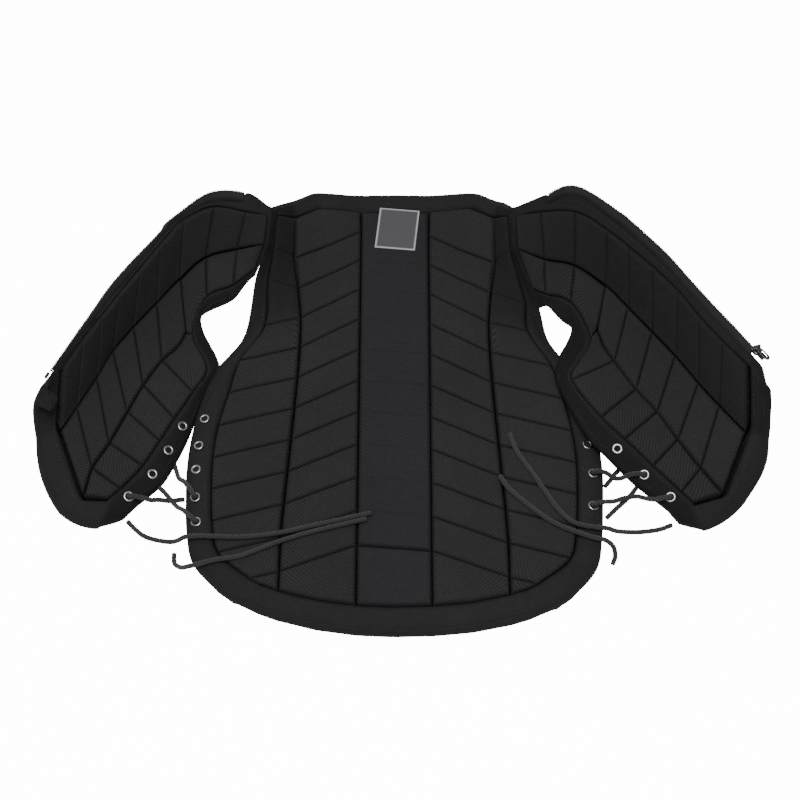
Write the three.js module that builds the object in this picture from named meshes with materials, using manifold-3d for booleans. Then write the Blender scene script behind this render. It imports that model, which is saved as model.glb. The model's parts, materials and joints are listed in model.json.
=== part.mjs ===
import * as THREE from 'three';
import { mergeVertices } from 'three/addons/utils/BufferGeometryUtils.js';
import Module from 'manifold-3d';

// A padded riding body protector, unzipped and laid open on its back with the lining up.
// Millimetres. X runs out to the side from the spine, Y from the tail to the neck, Z up.

// Foam blocks under the mesh lining, and the cloth shell that holds them.
const foam = { thickness: 20, seam: 2.6, bevel: 3, web: 3 };
const cloth = { floor: 3, seat: 0.8, shoulderEase: 1.2 };
const border = { neck: 14, arm: 20, side: 27, hem: 30, sink: 5, drop: 2, round: 2.5, lip: 5, wall: 1.2 };

// Back panel, measured from its chest line.
const back = { neckHeight: 270, tailDepth: 299, halfWidth: 229, hemHalfWidth: 224, hemRise: 119 };
const spine = { width: 80 };
const chevron = { first: 223, pitch: 42.3, rows: 11, stagger: 3.5, topDrop: 43, tailDrop: 32, outerSlope: 0.27 };

// Half width of the back's outline below the armhole's top: height up the back as a share of
// neckHeight, or of tailDepth where it is negative, and the half width as a share of halfWidth.
const backOutline = [
  { height: -0.602, half: 0.979 },
  { height: -0.36, half: 1.0 },
  { height: -0.19, half: 0.988 },
  { height: -0.05, half: 0.948 },
  { height: 0.05, half: 0.9 },
  { height: 0.163, half: 0.86 },
  { height: 0.222, half: 0.81 },
  { height: 0.285, half: 0.762 },
  { height: 0.37, half: 0.73 },
  { height: 0.47, half: 0.715 },
  { height: 0.62, half: 0.7 },
];
// The groove between the inner and the outer column of blocks, in the same shares.
const backGroove = [
  { height: -0.78, half: 0.537 },
  { height: -0.5, half: 0.529 },
  { height: -0.23, half: 0.507 },
  { height: 0.05, half: 0.485 },
  { height: 0.33, half: 0.47 },
  { height: 0.52, half: 0.472 },
  { height: 0.68, half: 0.487 },
  { height: 0.84, half: 0.51 },
];
// The neck edge and the first line of blocks: side and height as above, rise as a share of the
// foam's thickness.
const neckRows = [
  [
    { side: 0, height: 1, rise: 1 },
    { side: 0.175, height: 1, rise: 1 },
    { side: 0.405, height: 1.015, rise: 1.4 },
    { side: 0.5, height: 0.915, rise: 2.3 },
  ],
  [
    { side: 0, height: 0.948, rise: 1 },
    { side: 0.175, height: 0.948, rise: 1 },
    { side: 0.385, height: 0.953, rise: 1.35 },
    { side: 0.505, height: 0.86, rise: 1.9 },
  ],
];

// The fronts, opened out. beyond is from the back's side to the far hem corner and drop from the
// neck's height to the lowest hem. sideShare is where the back's side lies on the way out, so the
// seams beside the back follow its width. The zip edge curls up, the shoulder stands in a ridge.
const front = {
  beyond: 181, sideShare: 0.5585, drop: 445, lie: 22, edgeLie: 16, zipRise: 66, ridgeRise: 38,
  overRise: 20, squash: 6, endGap: 0.14,
};
const hem = { round: 6 };
const zip = { reach: 8, tape: 1.2, placket: 6, toothWidth: 3.4, toothHeight: 2.8, gap: 0.3, from: 1.35, to: 9.68 };
const slider = { width: 9, length: 11, height: 5, at: 9.93, lug: 1.2, pin: 0.8, pinRise: 3.4 };
const pull = { length: 20, width: 7, thickness: 1.6, fork: 3.6, finger: 0.8, play: 0.4, sideGap: 0.4 };
const zipEnd = { width: 7, length: 8, height: 3.5, pinWidth: 3 };
const eyelet = { outer: 6, bore: 3, height: 1.2, sides: 10, lift: 0.4 };
const lace = { radius: 2.7, sides: 8, step: 13, leastSteps: 10 };
const patch = { width: 48, length: 60, thickness: 0.8, turn: -0.1, offCentre: 2.8, height: 0.843 };
const seat = 0.3;
const seam = { gap: 0.25, thickness: 2.4, taper: 0.6, band: 7, blend: 0.4 };

// The shoulder seam from the neck to the armhole, where the back ends and a front begins: out and
// down as shares of the whole way and of drop, rise in foam thicknesses.
const shoulderSeam = {
  left: [
    { out: 0.346, down: 0.115, rise: 3.7 },
    { out: 0.346, down: 0.133, rise: 3.5 },
    { out: 0.356, down: 0.209, rise: 3.0 },
    { out: 0.392, down: 0.272, rise: 1.7 },
  ],
  right: [
    { out: 0.33, down: 0.115, rise: 3.7 },
    { out: 0.327, down: 0.135, rise: 3.5 },
    { out: 0.333, down: 0.219, rise: 3.0 },
    { out: 0.405, down: 0.362, rise: 1.3 },
  ],
};
// Rows of each front, from the shoulder to the hem. Each point is [out, down]: the zip edge, the
// first line of blocks, the outer seam, the inner seam, the last line of blocks, the arm edge.
// lift is how far the zip edge is up, ridge how much of the shoulder's ridge is left, and over how
// far the arm side is carried up over the back's edge. block is false where no groove crosses.
const frontRows = {
  left: [
    { edge: [0.414, 0.103], first: [0.419, 0.139], outer: [0.449, 0.207], inner: [0.454, 0.252],
      last: [0.456, 0.294], arm: [0.451, 0.317], lift: 0.95, ridge: 0.5, over: 0, block: true },
    { edge: [0.517, 0.101], first: [0.51, 0.124], outer: [0.537, 0.216], inner: [0.534, 0.272],
      last: [0.53, 0.322], arm: [0.529, 0.347], lift: 1, ridge: 0.2, over: 0, block: true },
    { edge: [0.61, 0.168], first: [0.592, 0.168], outer: [0.607, 0.274], inner: [0.582, 0.431],
      last: [0.563, 0.436], arm: [0.54, 0.4], lift: 1, ridge: 0.05, over: 0, block: true },
    { edge: [0.637, 0.206], first: [0.62, 0.208], outer: [0.639, 0.312], inner: [0.61, 0.481],
      last: [0.517, 0.54], arm: [0.485, 0.521], lift: 1, ridge: 0, over: 0, block: false },
    { edge: [0.668, 0.25], first: [0.649, 0.25], outer: [0.668, 0.351], inner: [0.644, 0.515],
      last: [0.552, 0.614], arm: [0.52, 0.6], lift: 1, ridge: 0, over: 0, block: true },
    { edge: [0.724, 0.324], first: [0.7, 0.33], outer: [0.727, 0.427], inner: [0.69, 0.591],
      last: [0.597, 0.692], arm: [0.568, 0.716], lift: 1, ridge: 0, over: 0, block: true },
    { edge: [0.776, 0.402], first: [0.749, 0.407], outer: [0.778, 0.501], inner: [0.727, 0.672],
      last: [0.632, 0.757], arm: [0.6, 0.792], lift: 1, ridge: 0, over: 0, block: true },
    { edge: [0.822, 0.492], first: [0.793, 0.478], outer: [0.815, 0.582], inner: [0.768, 0.764],
      last: [0.673, 0.829], arm: [0.63, 0.858], lift: 1, ridge: 0, over: 0, block: true },
    { edge: [0.871, 0.587], first: [0.837, 0.55], outer: [0.861, 0.672], inner: [0.807, 0.836],
      last: [0.727, 0.894], arm: [0.676, 0.925], lift: 1, ridge: 0, over: 0, block: true },
    { edge: [0.92, 0.676], first: [0.885, 0.634], outer: [0.905, 0.742], inner: [0.829, 0.922],
      last: [0.758, 0.926], arm: [0.697, 0.947], lift: 0.95, ridge: 0, over: 0, block: true },
    { edge: [0.93, 0.694], first: [0.934, 0.706], outer: [0.961, 0.748], inner: [0.888, 0.937],
      last: [0.778, 0.991], arm: [0.71, 0.965], lift: 0.85, ridge: 0, over: 0, block: false },
  ],
  right: [
    { edge: [0.424, 0.099], first: [0.412, 0.137], outer: [0.424, 0.24], inner: [0.424, 0.276],
      last: [0.427, 0.324], arm: [0.434, 0.355], lift: 0.95, ridge: 0.5, over: 0, block: true },
    { edge: [0.51, 0.076], first: [0.507, 0.139], outer: [0.51, 0.243], inner: [0.502, 0.289],
      last: [0.495, 0.338], arm: [0.478, 0.393], lift: 1, ridge: 0.2, over: 0, block: true },
    { edge: [0.624, 0.155], first: [0.59, 0.204], outer: [0.595, 0.297], inner: [0.563, 0.431],
      last: [0.544, 0.463], arm: [0.49, 0.449], lift: 1.03, ridge: 0.05, over: 0.5, block: true },
    { edge: [0.656, 0.187], first: [0.622, 0.234], outer: [0.627, 0.33], inner: [0.578, 0.485],
      last: [0.505, 0.548], arm: [0.456, 0.512], lift: 1.03, ridge: 0, over: 0.85, block: false },
    { edge: [0.685, 0.219], first: [0.649, 0.262], outer: [0.654, 0.364], inner: [0.605, 0.533],
      last: [0.482, 0.607], arm: [0.436, 0.6], lift: 1.03, ridge: 0, over: 1.05, block: true },
    { edge: [0.746, 0.29], first: [0.71, 0.324], outer: [0.715, 0.44], inner: [0.659, 0.618],
      last: [0.556, 0.715], arm: [0.507, 0.751], lift: 1.03, ridge: 0, over: 1, block: true },
    { edge: [0.805, 0.376], first: [0.773, 0.4], outer: [0.773, 0.515], inner: [0.712, 0.683],
      last: [0.617, 0.773], arm: [0.573, 0.811], lift: 1.03, ridge: 0, over: 0.8, block: true },
    { edge: [0.859, 0.452], first: [0.824, 0.479], outer: [0.829, 0.598], inner: [0.763, 0.757],
      last: [0.69, 0.836], arm: [0.64, 0.867], lift: 1.03, ridge: 0, over: 0.25, block: true },
    { edge: [0.917, 0.528], first: [0.88, 0.553], outer: [0.88, 0.665], inner: [0.817, 0.836],
      last: [0.761, 0.903], arm: [0.712, 0.935], lift: 1.03, ridge: 0, over: 0, block: true },
    { edge: [0.966, 0.59], first: [0.945, 0.625], outer: [0.949, 0.748], inner: [0.878, 0.912],
      last: [0.79, 0.937], arm: [0.728, 0.953], lift: 0.98, ridge: 0, over: 0, block: true },
    { edge: [0.978, 0.61], first: [0.984, 0.68], outer: [1.0, 0.757], inner: [0.941, 0.906],
      last: [0.81, 0.998], arm: [0.742, 0.975], lift: 0.86, ridge: 0, over: 0, block: false },
  ],
};

const range = (from, to) => Array.from({ length: Math.max(0, Math.floor(to - from + 1.001)) }, (_, i) => from + i);
const lerp = THREE.MathUtils.lerp;
const clamp = THREE.MathUtils.clamp;
const sideSign = { left: -1, right: 1 };

// A smooth curve through rows of { height, half }, read at a height in millimetres.
function heightCurve(rows) {
  const at = rows.map((row) => [
    row.height * (row.height < 0 ? back.tailDepth : back.neckHeight),
    row.half * back.halfWidth,
  ]);
  const slope = at.map((_, i) => {
    const a = at[Math.max(i - 1, 0)];
    const b = at[Math.min(i + 1, at.length - 1)];
    return (b[1] - a[1]) / (b[0] - a[0]);
  });
  return (y) => {
    const inside = clamp(y, at[0][0], at[at.length - 1][0]);
    const next = Math.max(1, at.findIndex((row) => row[0] >= inside));
    const a = at[next - 1];
    const b = at[next];
    const h = b[0] - a[0];
    const t = (inside - a[0]) / h;
    const bump = t * (1 - t);
    return lerp(a[1], b[1], t * t * (3 - 2 * t)) + h * bump * ((1 - t) * slope[next - 1] - t * slope[next]);
  };
}
const sideHalf = heightCurve(backOutline);
const grooveHalf = heightCurve(backGroove);

// The hem is half an ellipse. inset is how far inside the outline the line lies.
function hemHeight(x, inset) {
  const share = clamp(x / (back.hemHalfWidth - inset), 0, 1);
  return back.hemRise - back.tailDepth - (back.hemRise - inset) * Math.sqrt(1 - share * share);
}

// The half width of the back at a height, inside its outline by a border's width.
function halfWidth(y, armInset, sideInset, hemInset) {
  const hemTop = back.hemRise - back.tailDepth;
  if (y < hemTop) {
    const down = clamp((hemTop - y) / (back.hemRise - hemInset), 0, 1);
    return (back.hemHalfWidth - sideInset) * Math.sqrt(1 - down * down);
  }
  const share = THREE.MathUtils.smoothstep(y, 0, back.neckHeight * 0.3);
  return sideHalf(y) - lerp(sideInset, armInset, share);
}

// Where the line of a chevron, running out and down from the groove, meets a half width.
function meet(from, halfAt) {
  let y = from.y;
  let x = from.x;
  for (let i = 0; i < 6; i += 1) {
    x = halfAt(y);
    y = from.y - (x - from.x) * chevron.outerSlope;
  }
  return [x, y];
}

// How far out from the spine a share of the way to the far hem corner is, in millimetres.
function outward(share) {
  if (share <= front.sideShare) return back.halfWidth * share / front.sideShare;
  return back.halfWidth + front.beyond * (share - front.sideShare) / (1 - front.sideShare);
}

function seamPoint(name, index) {
  const row = shoulderSeam[name][index];
  return new THREE.Vector3(
    outward(row.out),
    back.neckHeight - row.down * front.drop,
    row.rise * foam.thickness,
  );
}

// Rows of the back from the neck edge to the hem. Each holds the points at the centre, the spine
// groove, the middle of the inner column, the outer groove, the last line of blocks and the edge.
const lastChevron = chevron.rows + 1;
const pocketEnd = lastChevron + 1;
const hemEdge = pocketEnd + 1;
const strapRows = 3;
function backRows(name) {
  const top = foam.thickness;
  const rows = [];
  for (let v = 0; v <= hemEdge; v += 1) {
    const row = [];
    if (v < neckRows.length) {
      neckRows[v].forEach((p) => row.push(
        new THREE.Vector3(p.side * back.halfWidth, p.height * back.neckHeight, p.rise * foam.thickness),
      ));
    } else if (v <= lastChevron) {
      const share = (v - 2) / (chevron.rows - 1);
      const y = chevron.first - sideSign[name] * chevron.stagger - (v - 2) * chevron.pitch;
      const x = grooveHalf(y);
      const down = lerp(chevron.topDrop, chevron.tailDrop, share);
      const lift = top * Math.max(0, 1.2 - 0.13 * (v - 2) ** 2 - 1) + top;
      row.push(new THREE.Vector3(0, y, top), new THREE.Vector3(spine.width / 2, y, top));
      row.push(new THREE.Vector3((spine.width / 2 + x) / 2, y - down / 2, top));
      row.push(new THREE.Vector3(x, y - down, lift));
    } else {
      const inset = v === pocketEnd ? border.hem : 0;
      const half = back.hemHalfWidth - (v === pocketEnd ? border.side : 0);
      const groove = grooveHalf(-back.tailDepth);
      [0, spine.width / 2, (spine.width / 2 + groove) / 2, groove].forEach((x) => row.push(
        new THREE.Vector3(x, hemHeight(x * (back.hemHalfWidth - inset) / half, inset), top),
      ));
    }
    const groovePoint = row[3];
    if (v <= strapRows) {
      const edge = seamPoint(name, v);
      row.push(groovePoint.clone().lerp(edge, 0.72), edge);
    } else if (v <= lastChevron) {
      const [px, py] = meet(groovePoint, (y) => halfWidth(y, border.arm, border.side, border.hem));
      const [ex, ey] = meet(groovePoint, (y) => halfWidth(y, 0, 0, 0));
      row.push(new THREE.Vector3(px, py, top), new THREE.Vector3(ex, ey, top));
    } else {
      const before = rows[v - 1];
      const inner = v === pocketEnd ? border.hem : 0;
      const half = back.hemHalfWidth - (v === pocketEnd ? border.side : 0);
      const toward = lerp(groovePoint.x, before[4].x, v === pocketEnd ? 0.6 : 1.15);
      row.push(new THREE.Vector3(toward, hemHeight(toward * (back.hemHalfWidth - inner) / half, inner), top));
      const edgeX = before[5].x * (v === pocketEnd ? 0.965 : 0.955);
      row.push(new THREE.Vector3(edgeX, hemHeight(edgeX, 0), top));
    }
    rows.push(row);
  }
  return rows;
}

// Rows of a front, each with six points across, from the zip edge to the arm edge.
const stations = ['edge', 'first', 'outer', 'inner', 'last', 'arm'];
const lean = [1, 0.88, 0.09, 0, 0, 0];
const ridgeShare = [0, 0, 1, 0.84, 0.53, 0.53];
const overShare = [0, 0, 0, 0.5, 1, 1];
const pocketRow = frontRows.left.length - 1;
const frontEdgeRow = frontRows.left.length;
function frontSections(name) {
  const s = [0, 1, 2, 3].map((i) => seamPoint(name, i));
  const rows = [[s[0], s[1], s[2], s[2].clone().lerp(s[3], 1 / 3), s[2].clone().lerp(s[3], 2 / 3), s[3]]];
  frontRows[name].forEach((row) => rows.push(stations.map((station, j) => {
    const [out, down] = row[station];
    const lie = j === 5 ? front.edgeLie : front.lie;
    return new THREE.Vector3(
      outward(out),
      back.neckHeight - down * front.drop,
      lie + row.lift * lean[j] * front.zipRise
        + row.ridge * ridgeShare[j] * front.ridgeRise + row.over * overShare[j] * front.overRise,
    );
  })));
  return rows;
}

// A point between rows: straight up to the row named straight and past the row named lastSmooth,
// and on a smooth curve through the rows between them.
function betweenRows(rows, station, v, straight, lastSmooth) {
  const i = clamp(Math.floor(v), 0, rows.length - 2);
  const t = v - i;
  const a = rows[i][station];
  const b = rows[i + 1][station];
  const flat = a.clone().lerp(b, t);
  if (i < straight || i >= lastSmooth) return flat;
  const before = i > straight ? rows[i - 1][station] : a.clone().multiplyScalar(2).sub(b);
  const after = i + 1 < lastSmooth ? rows[i + 2][station] : b.clone().multiplyScalar(2).sub(a);
  const tangentA = b.clone().sub(before).multiplyScalar(0.5);
  const tangentB = after.clone().sub(a).multiplyScalar(0.5);
  return a.clone().lerp(b, t * t * (3 - 2 * t))
    .addScaledVector(tangentA, t * (1 - t) * (1 - t))
    .addScaledVector(tangentB, -t * t * (1 - t));
}

function acrossStations(rows, u, v, straight, lastSmooth) {
  const i = clamp(Math.floor(u), 0, rows[0].length - 2);
  const a = betweenRows(rows, i, v, straight, lastSmooth);
  return a.lerp(betweenRows(rows, i + 1, v, straight, lastSmooth), u - i);
}

const backPoints = { left: backRows('left'), right: backRows('right') };
const frontPoints = { left: frontSections('left'), right: frontSections('right') };

function backPoint(u, v) {
  const rows = backPoints[u < 0 ? 'left' : 'right'];
  const p = acrossStations(rows, Math.abs(u), v, strapRows, lastChevron);
  p.x *= Math.sign(u);
  return p;
}

function frontPoint(name, u, v) {
  const rows = frontPoints[name];
  const p = acrossStations(rows, u, v, 0, frontEdgeRow);
  if (v > pocketRow && u > 2 && u < 4) {
    const out = acrossStations(rows, u, frontEdgeRow, 0, frontEdgeRow)
      .sub(acrossStations(rows, u, pocketRow, 0, frontEdgeRow)).setZ(0).normalize();
    const t = u % 1;
    p.addScaledVector(out, hem.round * 4 * t * (1 - t) * (v - pocketRow));
  }
  p.x *= sideSign[name];
  return p;
}

// The normal of a surface on one side of a point across it.
const step = 0.02;
function facetNormal(point, u, v, toward, limits) {
  const other = u + toward * step;
  const across = point(other, v).sub(point(u, v)).multiplyScalar(toward);
  const low = Math.max(v - step, limits.v[0]);
  const high = Math.min(v + step, limits.v[1]);
  const along = point((u + other) / 2, low).sub(point((u + other) / 2, high));
  const normal = across.cross(along).normalize();
  return normal.z < 0 ? normal.negate() : normal;
}

// The vector that keeps two offset faces at one distance where they meet in a fold.
function mitre(a, b) {
  return a.clone().add(b).divideScalar(1 + Math.max(a.dot(b), -0.3));
}

// The shoulder seam's own offset, shared by the back and the front that meet there. s runs from 0
// at the neck to 3 at the armhole.
function seamCorner(name, s) {
  const sign = sideSign[name];
  const u = s <= 2 ? s : 5;
  const ofBack = facetNormal(backPoint, 5 * sign, s, -sign, { v: [0, hemEdge] });
  const along = frontPoint(name, u, step).sub(frontPoint(name, u, 0));
  const beside = s > 2 ? -step : step;
  const across = frontPoint(name, u + beside, 0).sub(frontPoint(name, u, 0));
  const ofFront = across.cross(along).normalize();
  if (ofFront.z < 0) ofFront.negate();
  return mitre(ofBack, ofFront);
}
const seamCorners = {
  left: [0, 1, 2, 3].map((s) => seamCorner('left', s)),
  right: [0, 1, 2, 3].map((s) => seamCorner('right', s)),
};
function seamOffset(name, s) {
  const i = clamp(Math.floor(s), 0, 2);
  return seamCorners[name][i].clone().lerp(seamCorners[name][i + 1], s - i);
}

// A surface to build on: the lining's top face, the direction in which cloth and foam lie under
// it, and how thick they are in all.
const backSurface = {
  point: backPoint,
  offset(u, v) {
    const limits = { v: [0, hemEdge] };
    const a = facetNormal(backPoint, u, v, u > -5 + step ? -1 : 1, limits);
    const b = facetNormal(backPoint, u, v, u < 5 - step ? 1 : -1, limits);
    const own = mitre(a, b);
    if (Math.abs(u) < 5 - seam.blend || v > strapRows) return own;
    return seamOffset(u < 0 ? 'left' : 'right', v).lerp(own, (5 - Math.abs(u)) / seam.blend);
  },
  edge: (u, v) => Math.max(Math.abs(u) - 4, 1 - v, v - pocketEnd, 0),
  depth(u, v) {
    const across = Math.abs(u);
    const share = clamp(strapRows + 1 - v, 0, 1);
    const sign = Math.sign(u) || 1;
    const away = backPoint(5 * sign, v).distanceTo(backPoint(4 * sign, v));
    const beside = Math.min(foam.thickness, seam.thickness + seam.taper * away);
    const thin = across > 4 ? lerp(beside, seam.thickness, across - 4) : lerp(foam.thickness, beside, across - 3);
    return across > 3 ? lerp(foam.thickness, thin, share) : foam.thickness;
  },
  lowest: 0,
};

function frontSurface(name) {
  const point = (u, v) => frontPoint(name, u, v);
  const limits = { v: [0, frontEdgeRow] };
  // How much of the arm edge's padding is pressed flat where it lies over the back.
  const overs = [0, ...frontRows[name].map((row) => row.over)];
  const lap = (v) => lerp(overs[Math.floor(v)], overs[Math.min(Math.floor(v) + 1, overs.length - 1)], v % 1);
  return {
    point,
    // The zip's edge is too narrow to turn with its own slope: it keeps the fold's direction.
    offset(u, v) {
      const at = Math.max(u, 1);
      const a = facetNormal(point, at, v, -1, limits);
      const b = facetNormal(point, at, v, at < 5 - step ? 1 : -1, limits);
      const own = mitre(a, b);
      if (v > seam.blend) return own;
      return seamOffset(name, u <= 2 ? u : 2 + (u - 2) / 3).lerp(own, v / seam.blend);
    },
    edge: (u, v) => Math.max(1 - u, u - 4, v - pocketRow, 0),
    depth(u, v) {
      const away = v * point(u, 0).distanceTo(point(u, 1));
      const whole = foam.thickness - front.squash * Math.max(u - 4, 0) * lap(v)
        - (foam.thickness - zip.placket) * Math.max(1 - u, 0);
      return Math.min(whole, seam.thickness + seam.taper * away);
    },
    lowest: 0.6,
  };
}

function placed(surface, u, v, height, foldAt = u) {
  const p = surface.point(u, v).addScaledVector(surface.offset(foldAt, v), height);
  p.z = Math.max(p.z, surface.lowest);
  return p;
}

// Joins two lines of points that run the same way with triangles, whatever their counts.
function stitch(a, b, faces) {
  let i = 0;
  let j = 0;
  while (i < a.length - 1 || j < b.length - 1) {
    const nextA = i < a.length - 1 ? (i + 1) / (a.length - 1) : 2;
    const nextB = j < b.length - 1 ? (j + 1) / (b.length - 1) : 2;
    if (nextA <= nextB) {
      faces.push([a[i], a[i + 1], b[j]]);
      i += 1;
    } else {
      faces.push([a[i], b[j + 1], b[j]]);
      j += 1;
    }
  }
}

// A closed body between two stacks of lines. Line i of the top lies over line i of the bottom.
function bodyBetween(top, bottom) {
  const points = [];
  const index = (line) => line.map((p) => points.push(p) - 1);
  const a = top.map(index);
  const b = bottom.map(index);
  const faces = [];
  const under = [];
  for (let i = 0; i + 1 < a.length; i += 1) {
    stitch(a[i], a[i + 1], faces);
    stitch(b[i], b[i + 1], under);
  }
  under.forEach(([i, j, k]) => faces.push([i, k, j]));
  stitch(b[0], a[0], faces);
  stitch(a[a.length - 1], b[b.length - 1], faces);
  const side = (stack, at) => stack.map((line) => line.at(at));
  stitch(side(a, 0), side(b, 0), faces);
  stitch(side(b, -1), side(a, -1), faces);
  let volume = 0;
  faces.forEach(([i, j, k]) => {
    volume += points[i].dot(points[j].clone().cross(points[k]));
  });
  if (volume < 0) faces.forEach((face) => face.reverse());
  const geometry = new THREE.BufferGeometry();
  geometry.setAttribute('position', new THREE.Float32BufferAttribute(points.flatMap((p) => p.toArray()), 3));
  geometry.setIndex(faces.flat());
  geometry.computeVertexNormals();
  return geometry;
}

// The lines of a border from the edge to the pocket, as shares of its width, with the kind of
// line: 0 edge, 1 round, 2 and 3 the border's top, 4 the pocket's foot.
function borderLines(width) {
  return [
    [0, 0],
    [Math.min(border.round / width, 0.15), 1],
    [Math.min(border.lip / width, 0.35), 2],
    [1 - Math.min(border.wall / width, 0.12), 3],
    [1, 4],
  ];
}

const inMillimetres = (surface, a, b) => surface.point(...a).distanceTo(surface.point(...b));

// A cloth shell: a floor under the foam and a padded border all round it. across(v) gives its
// lines over the surface as [u, kind], and along lists its rows as [v, kind].
function shellGeometry(surface, across, along) {
  const top = [];
  const bottom = [];
  along.forEach(([v, rowKind]) => {
    const lines = across(v).map(([u, ownKind]) => {
      const kind = Math.min(ownKind, rowKind);
      const depth = surface.depth(u, v);
      const lie = -Math.min(border.drop + border.sink * surface.edge(u, v), depth * 0.4);
      const rounding = Math.min(border.round, (depth + lie) / 2) * 0.6;
      const low = [-depth + rounding * 1.5, -depth + rounding * 0.5, -depth, -depth, -depth][kind];
      const high = [lie - rounding * 1.5, lie - rounding * 0.5, lie, lie, cloth.floor - depth][kind];
      return { over: placed(surface, u, v, high), under: placed(surface, u, v, low), kind: ownKind };
    });
    top.push(lines.map((line) => line.over));
    bottom.push(lines.filter((line) => line.kind < 2 || line.kind > 3).map((line) => line.under));
  });
  return bodyBetween(top, bottom);
}

// The rows of a column of blocks between the grooves in along: each block's foot, the top of its
// bevel, any row in between, and the same at its other end. length(a, b) is its measure.
function blockRows(along, length, parted = 0) {
  const rows = [];
  for (let i = 0; i + 1 < along.length; i += 1) {
    const a = along[i];
    const b = along[i + 1];
    const gap = (b - a) * Math.min(foam.seam / length(a, b), 0.2);
    const slope = (b - a) * Math.min(foam.bevel / length(a, b), 0.2);
    const between = b <= parted ? [lerp(a, b, 1 / 3), lerp(a, b, 2 / 3)] : range(Math.floor(a) + 1, b);
    const inner = between.filter((v) => v > a + gap + slope && v < b - gap - slope);
    rows.push({ v: a + gap, raised: false }, { v: a + gap + slope, raised: true });
    rows.push(...inner.map((v) => ({ v, raised: true })));
    rows.push({ v: b - gap - slope, raised: true }, { v: b - gap, raised: false });
  }
  return rows;
}

// A column of foam blocks under one strip of mesh: the blocks stand between the grooves, and a
// thin web of cloth joins them. left and right give its sides at a row.
function padGeometry(surface, left, right, rows, middles = []) {
  const top = [];
  const bottom = [];
  rows.forEach(({ v, raised }) => {
    const l = left(v);
    const r = right(v);
    const inset = (u, toward, size) => Math.min(size / inMillimetres(surface, [u, v], [u + toward, v]), 0.3);
    const gaps = [inset(l, 1, foam.seam), inset(r, -1, foam.seam)];
    const slopes = [inset(l, 1, foam.bevel), inset(r, -1, foam.bevel)];
    const foot = cloth.floor + cloth.seat + (v < strapRows + 0.2 ? cloth.shoulderEase : 0);
    const at = (u, height, foldAt) => placed(surface, u, v, height - surface.depth(u, v), foldAt);
    const inner = middles.filter((u) => u > l && u < r);
    const raisedPoints = [l + gaps[0] + slopes[0], ...inner, r - gaps[1] - slopes[1]];
    top.push([
      at(l + gaps[0], foot + foam.web, l),
      ...(raised ? raisedPoints.map((u) => placed(surface, u, v, 0)) : inner.map((u) => at(u, foot + foam.web))),
      at(r - gaps[1], foot + foam.web, r),
    ]);
    bottom.push([at(l + gaps[0], foot, l), ...inner.map((u) => at(u, foot)), at(r - gaps[1], foot, r)]);
  });
  return bodyBetween(top, bottom);
}

function part(name, geometry, colour, roughness, metalness = 0) {
  const mesh = new THREE.Mesh(geometry, new THREE.MeshStandardMaterial({ color: colour, roughness, metalness }));
  mesh.name = name;
  return mesh;
}

const cloths = { shell: 0x242426, block: 0x2d2d2f, spine: 0x313135, zipTape: 0x202022, patch: 0x56555b, lace: 0x3a3a3e };
const metals = { silver: 0xc8c8cc, dark: 0x55565a };

const vest = new THREE.Group();

// Back panel: the shell and its pads.
const onSpine = (a, b) => inMillimetres(backSurface, [1, a], [1, b]);
const backBlocks = blockRows(range(1, pocketEnd), onSpine, strapRows);
function backAcross(v) {
  const side = (sign) => {
    const gap = v <= strapRows ? seam.gap : 0;
    const width = inMillimetres(backSurface, [sign * 5, v], [sign * 4, v]);
    return borderLines(width).map(([share, kind]) => [
      sign * (5 - Math.max(share, gap / width)),
      kind,
    ]);
  };
  const inside = [-3, -2, -1, 1, 2, 3].map((u) => [u, 4]);
  return [...side(-1), ...inside, ...side(1).reverse()];
}
function backAlong() {
  const neck = borderLines(border.neck).map(([share, kind]) => [share, kind]);
  const tail = borderLines(border.hem).map(([share, kind]) => [hemEdge - share, kind]).reverse();
  const flatRows = range(strapRows + 2, lastChevron);
  const rows = [...backBlocks.map((row) => row.v).filter((v) => v < strapRows + 1), strapRows + 1, ...flatRows];
  return [...neck, ...rows.map((v) => [v, 4]), ...tail];
}
vest.add(part('back_shell', shellGeometry(backSurface, backAcross, backAlong()), cloths.shell, 0.85));

const fixed = (u) => () => u;
const spineRows = (a, b) => blockRows([a, b], () => (b - a) * chevron.pitch);
vest.add(part(
  'back_spine_pad',
  padGeometry(backSurface, fixed(-1), fixed(1), spineRows(1, lastChevron)),
  cloths.spine,
  0.8,
));
vest.add(part(
  'back_tail_pad',
  padGeometry(backSurface, fixed(-1), fixed(1), spineRows(lastChevron, pocketEnd)),
  cloths.spine,
  0.8,
));
Object.entries(sideSign).forEach(([name, sign]) => {
  const column = (a, b, middles) => (sign > 0
    ? padGeometry(backSurface, fixed(a), fixed(b), backBlocks, middles)
    : padGeometry(backSurface, fixed(-b), fixed(-a), backBlocks, middles.map((u) => -u)));
  vest.add(part(`back_inner_pads_${name}`, column(1, 3, [2]), cloths.block, 0.85));
  vest.add(part(`back_outer_pads_${name}`, column(3, 4, []), cloths.block, 0.85));
});

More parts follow.
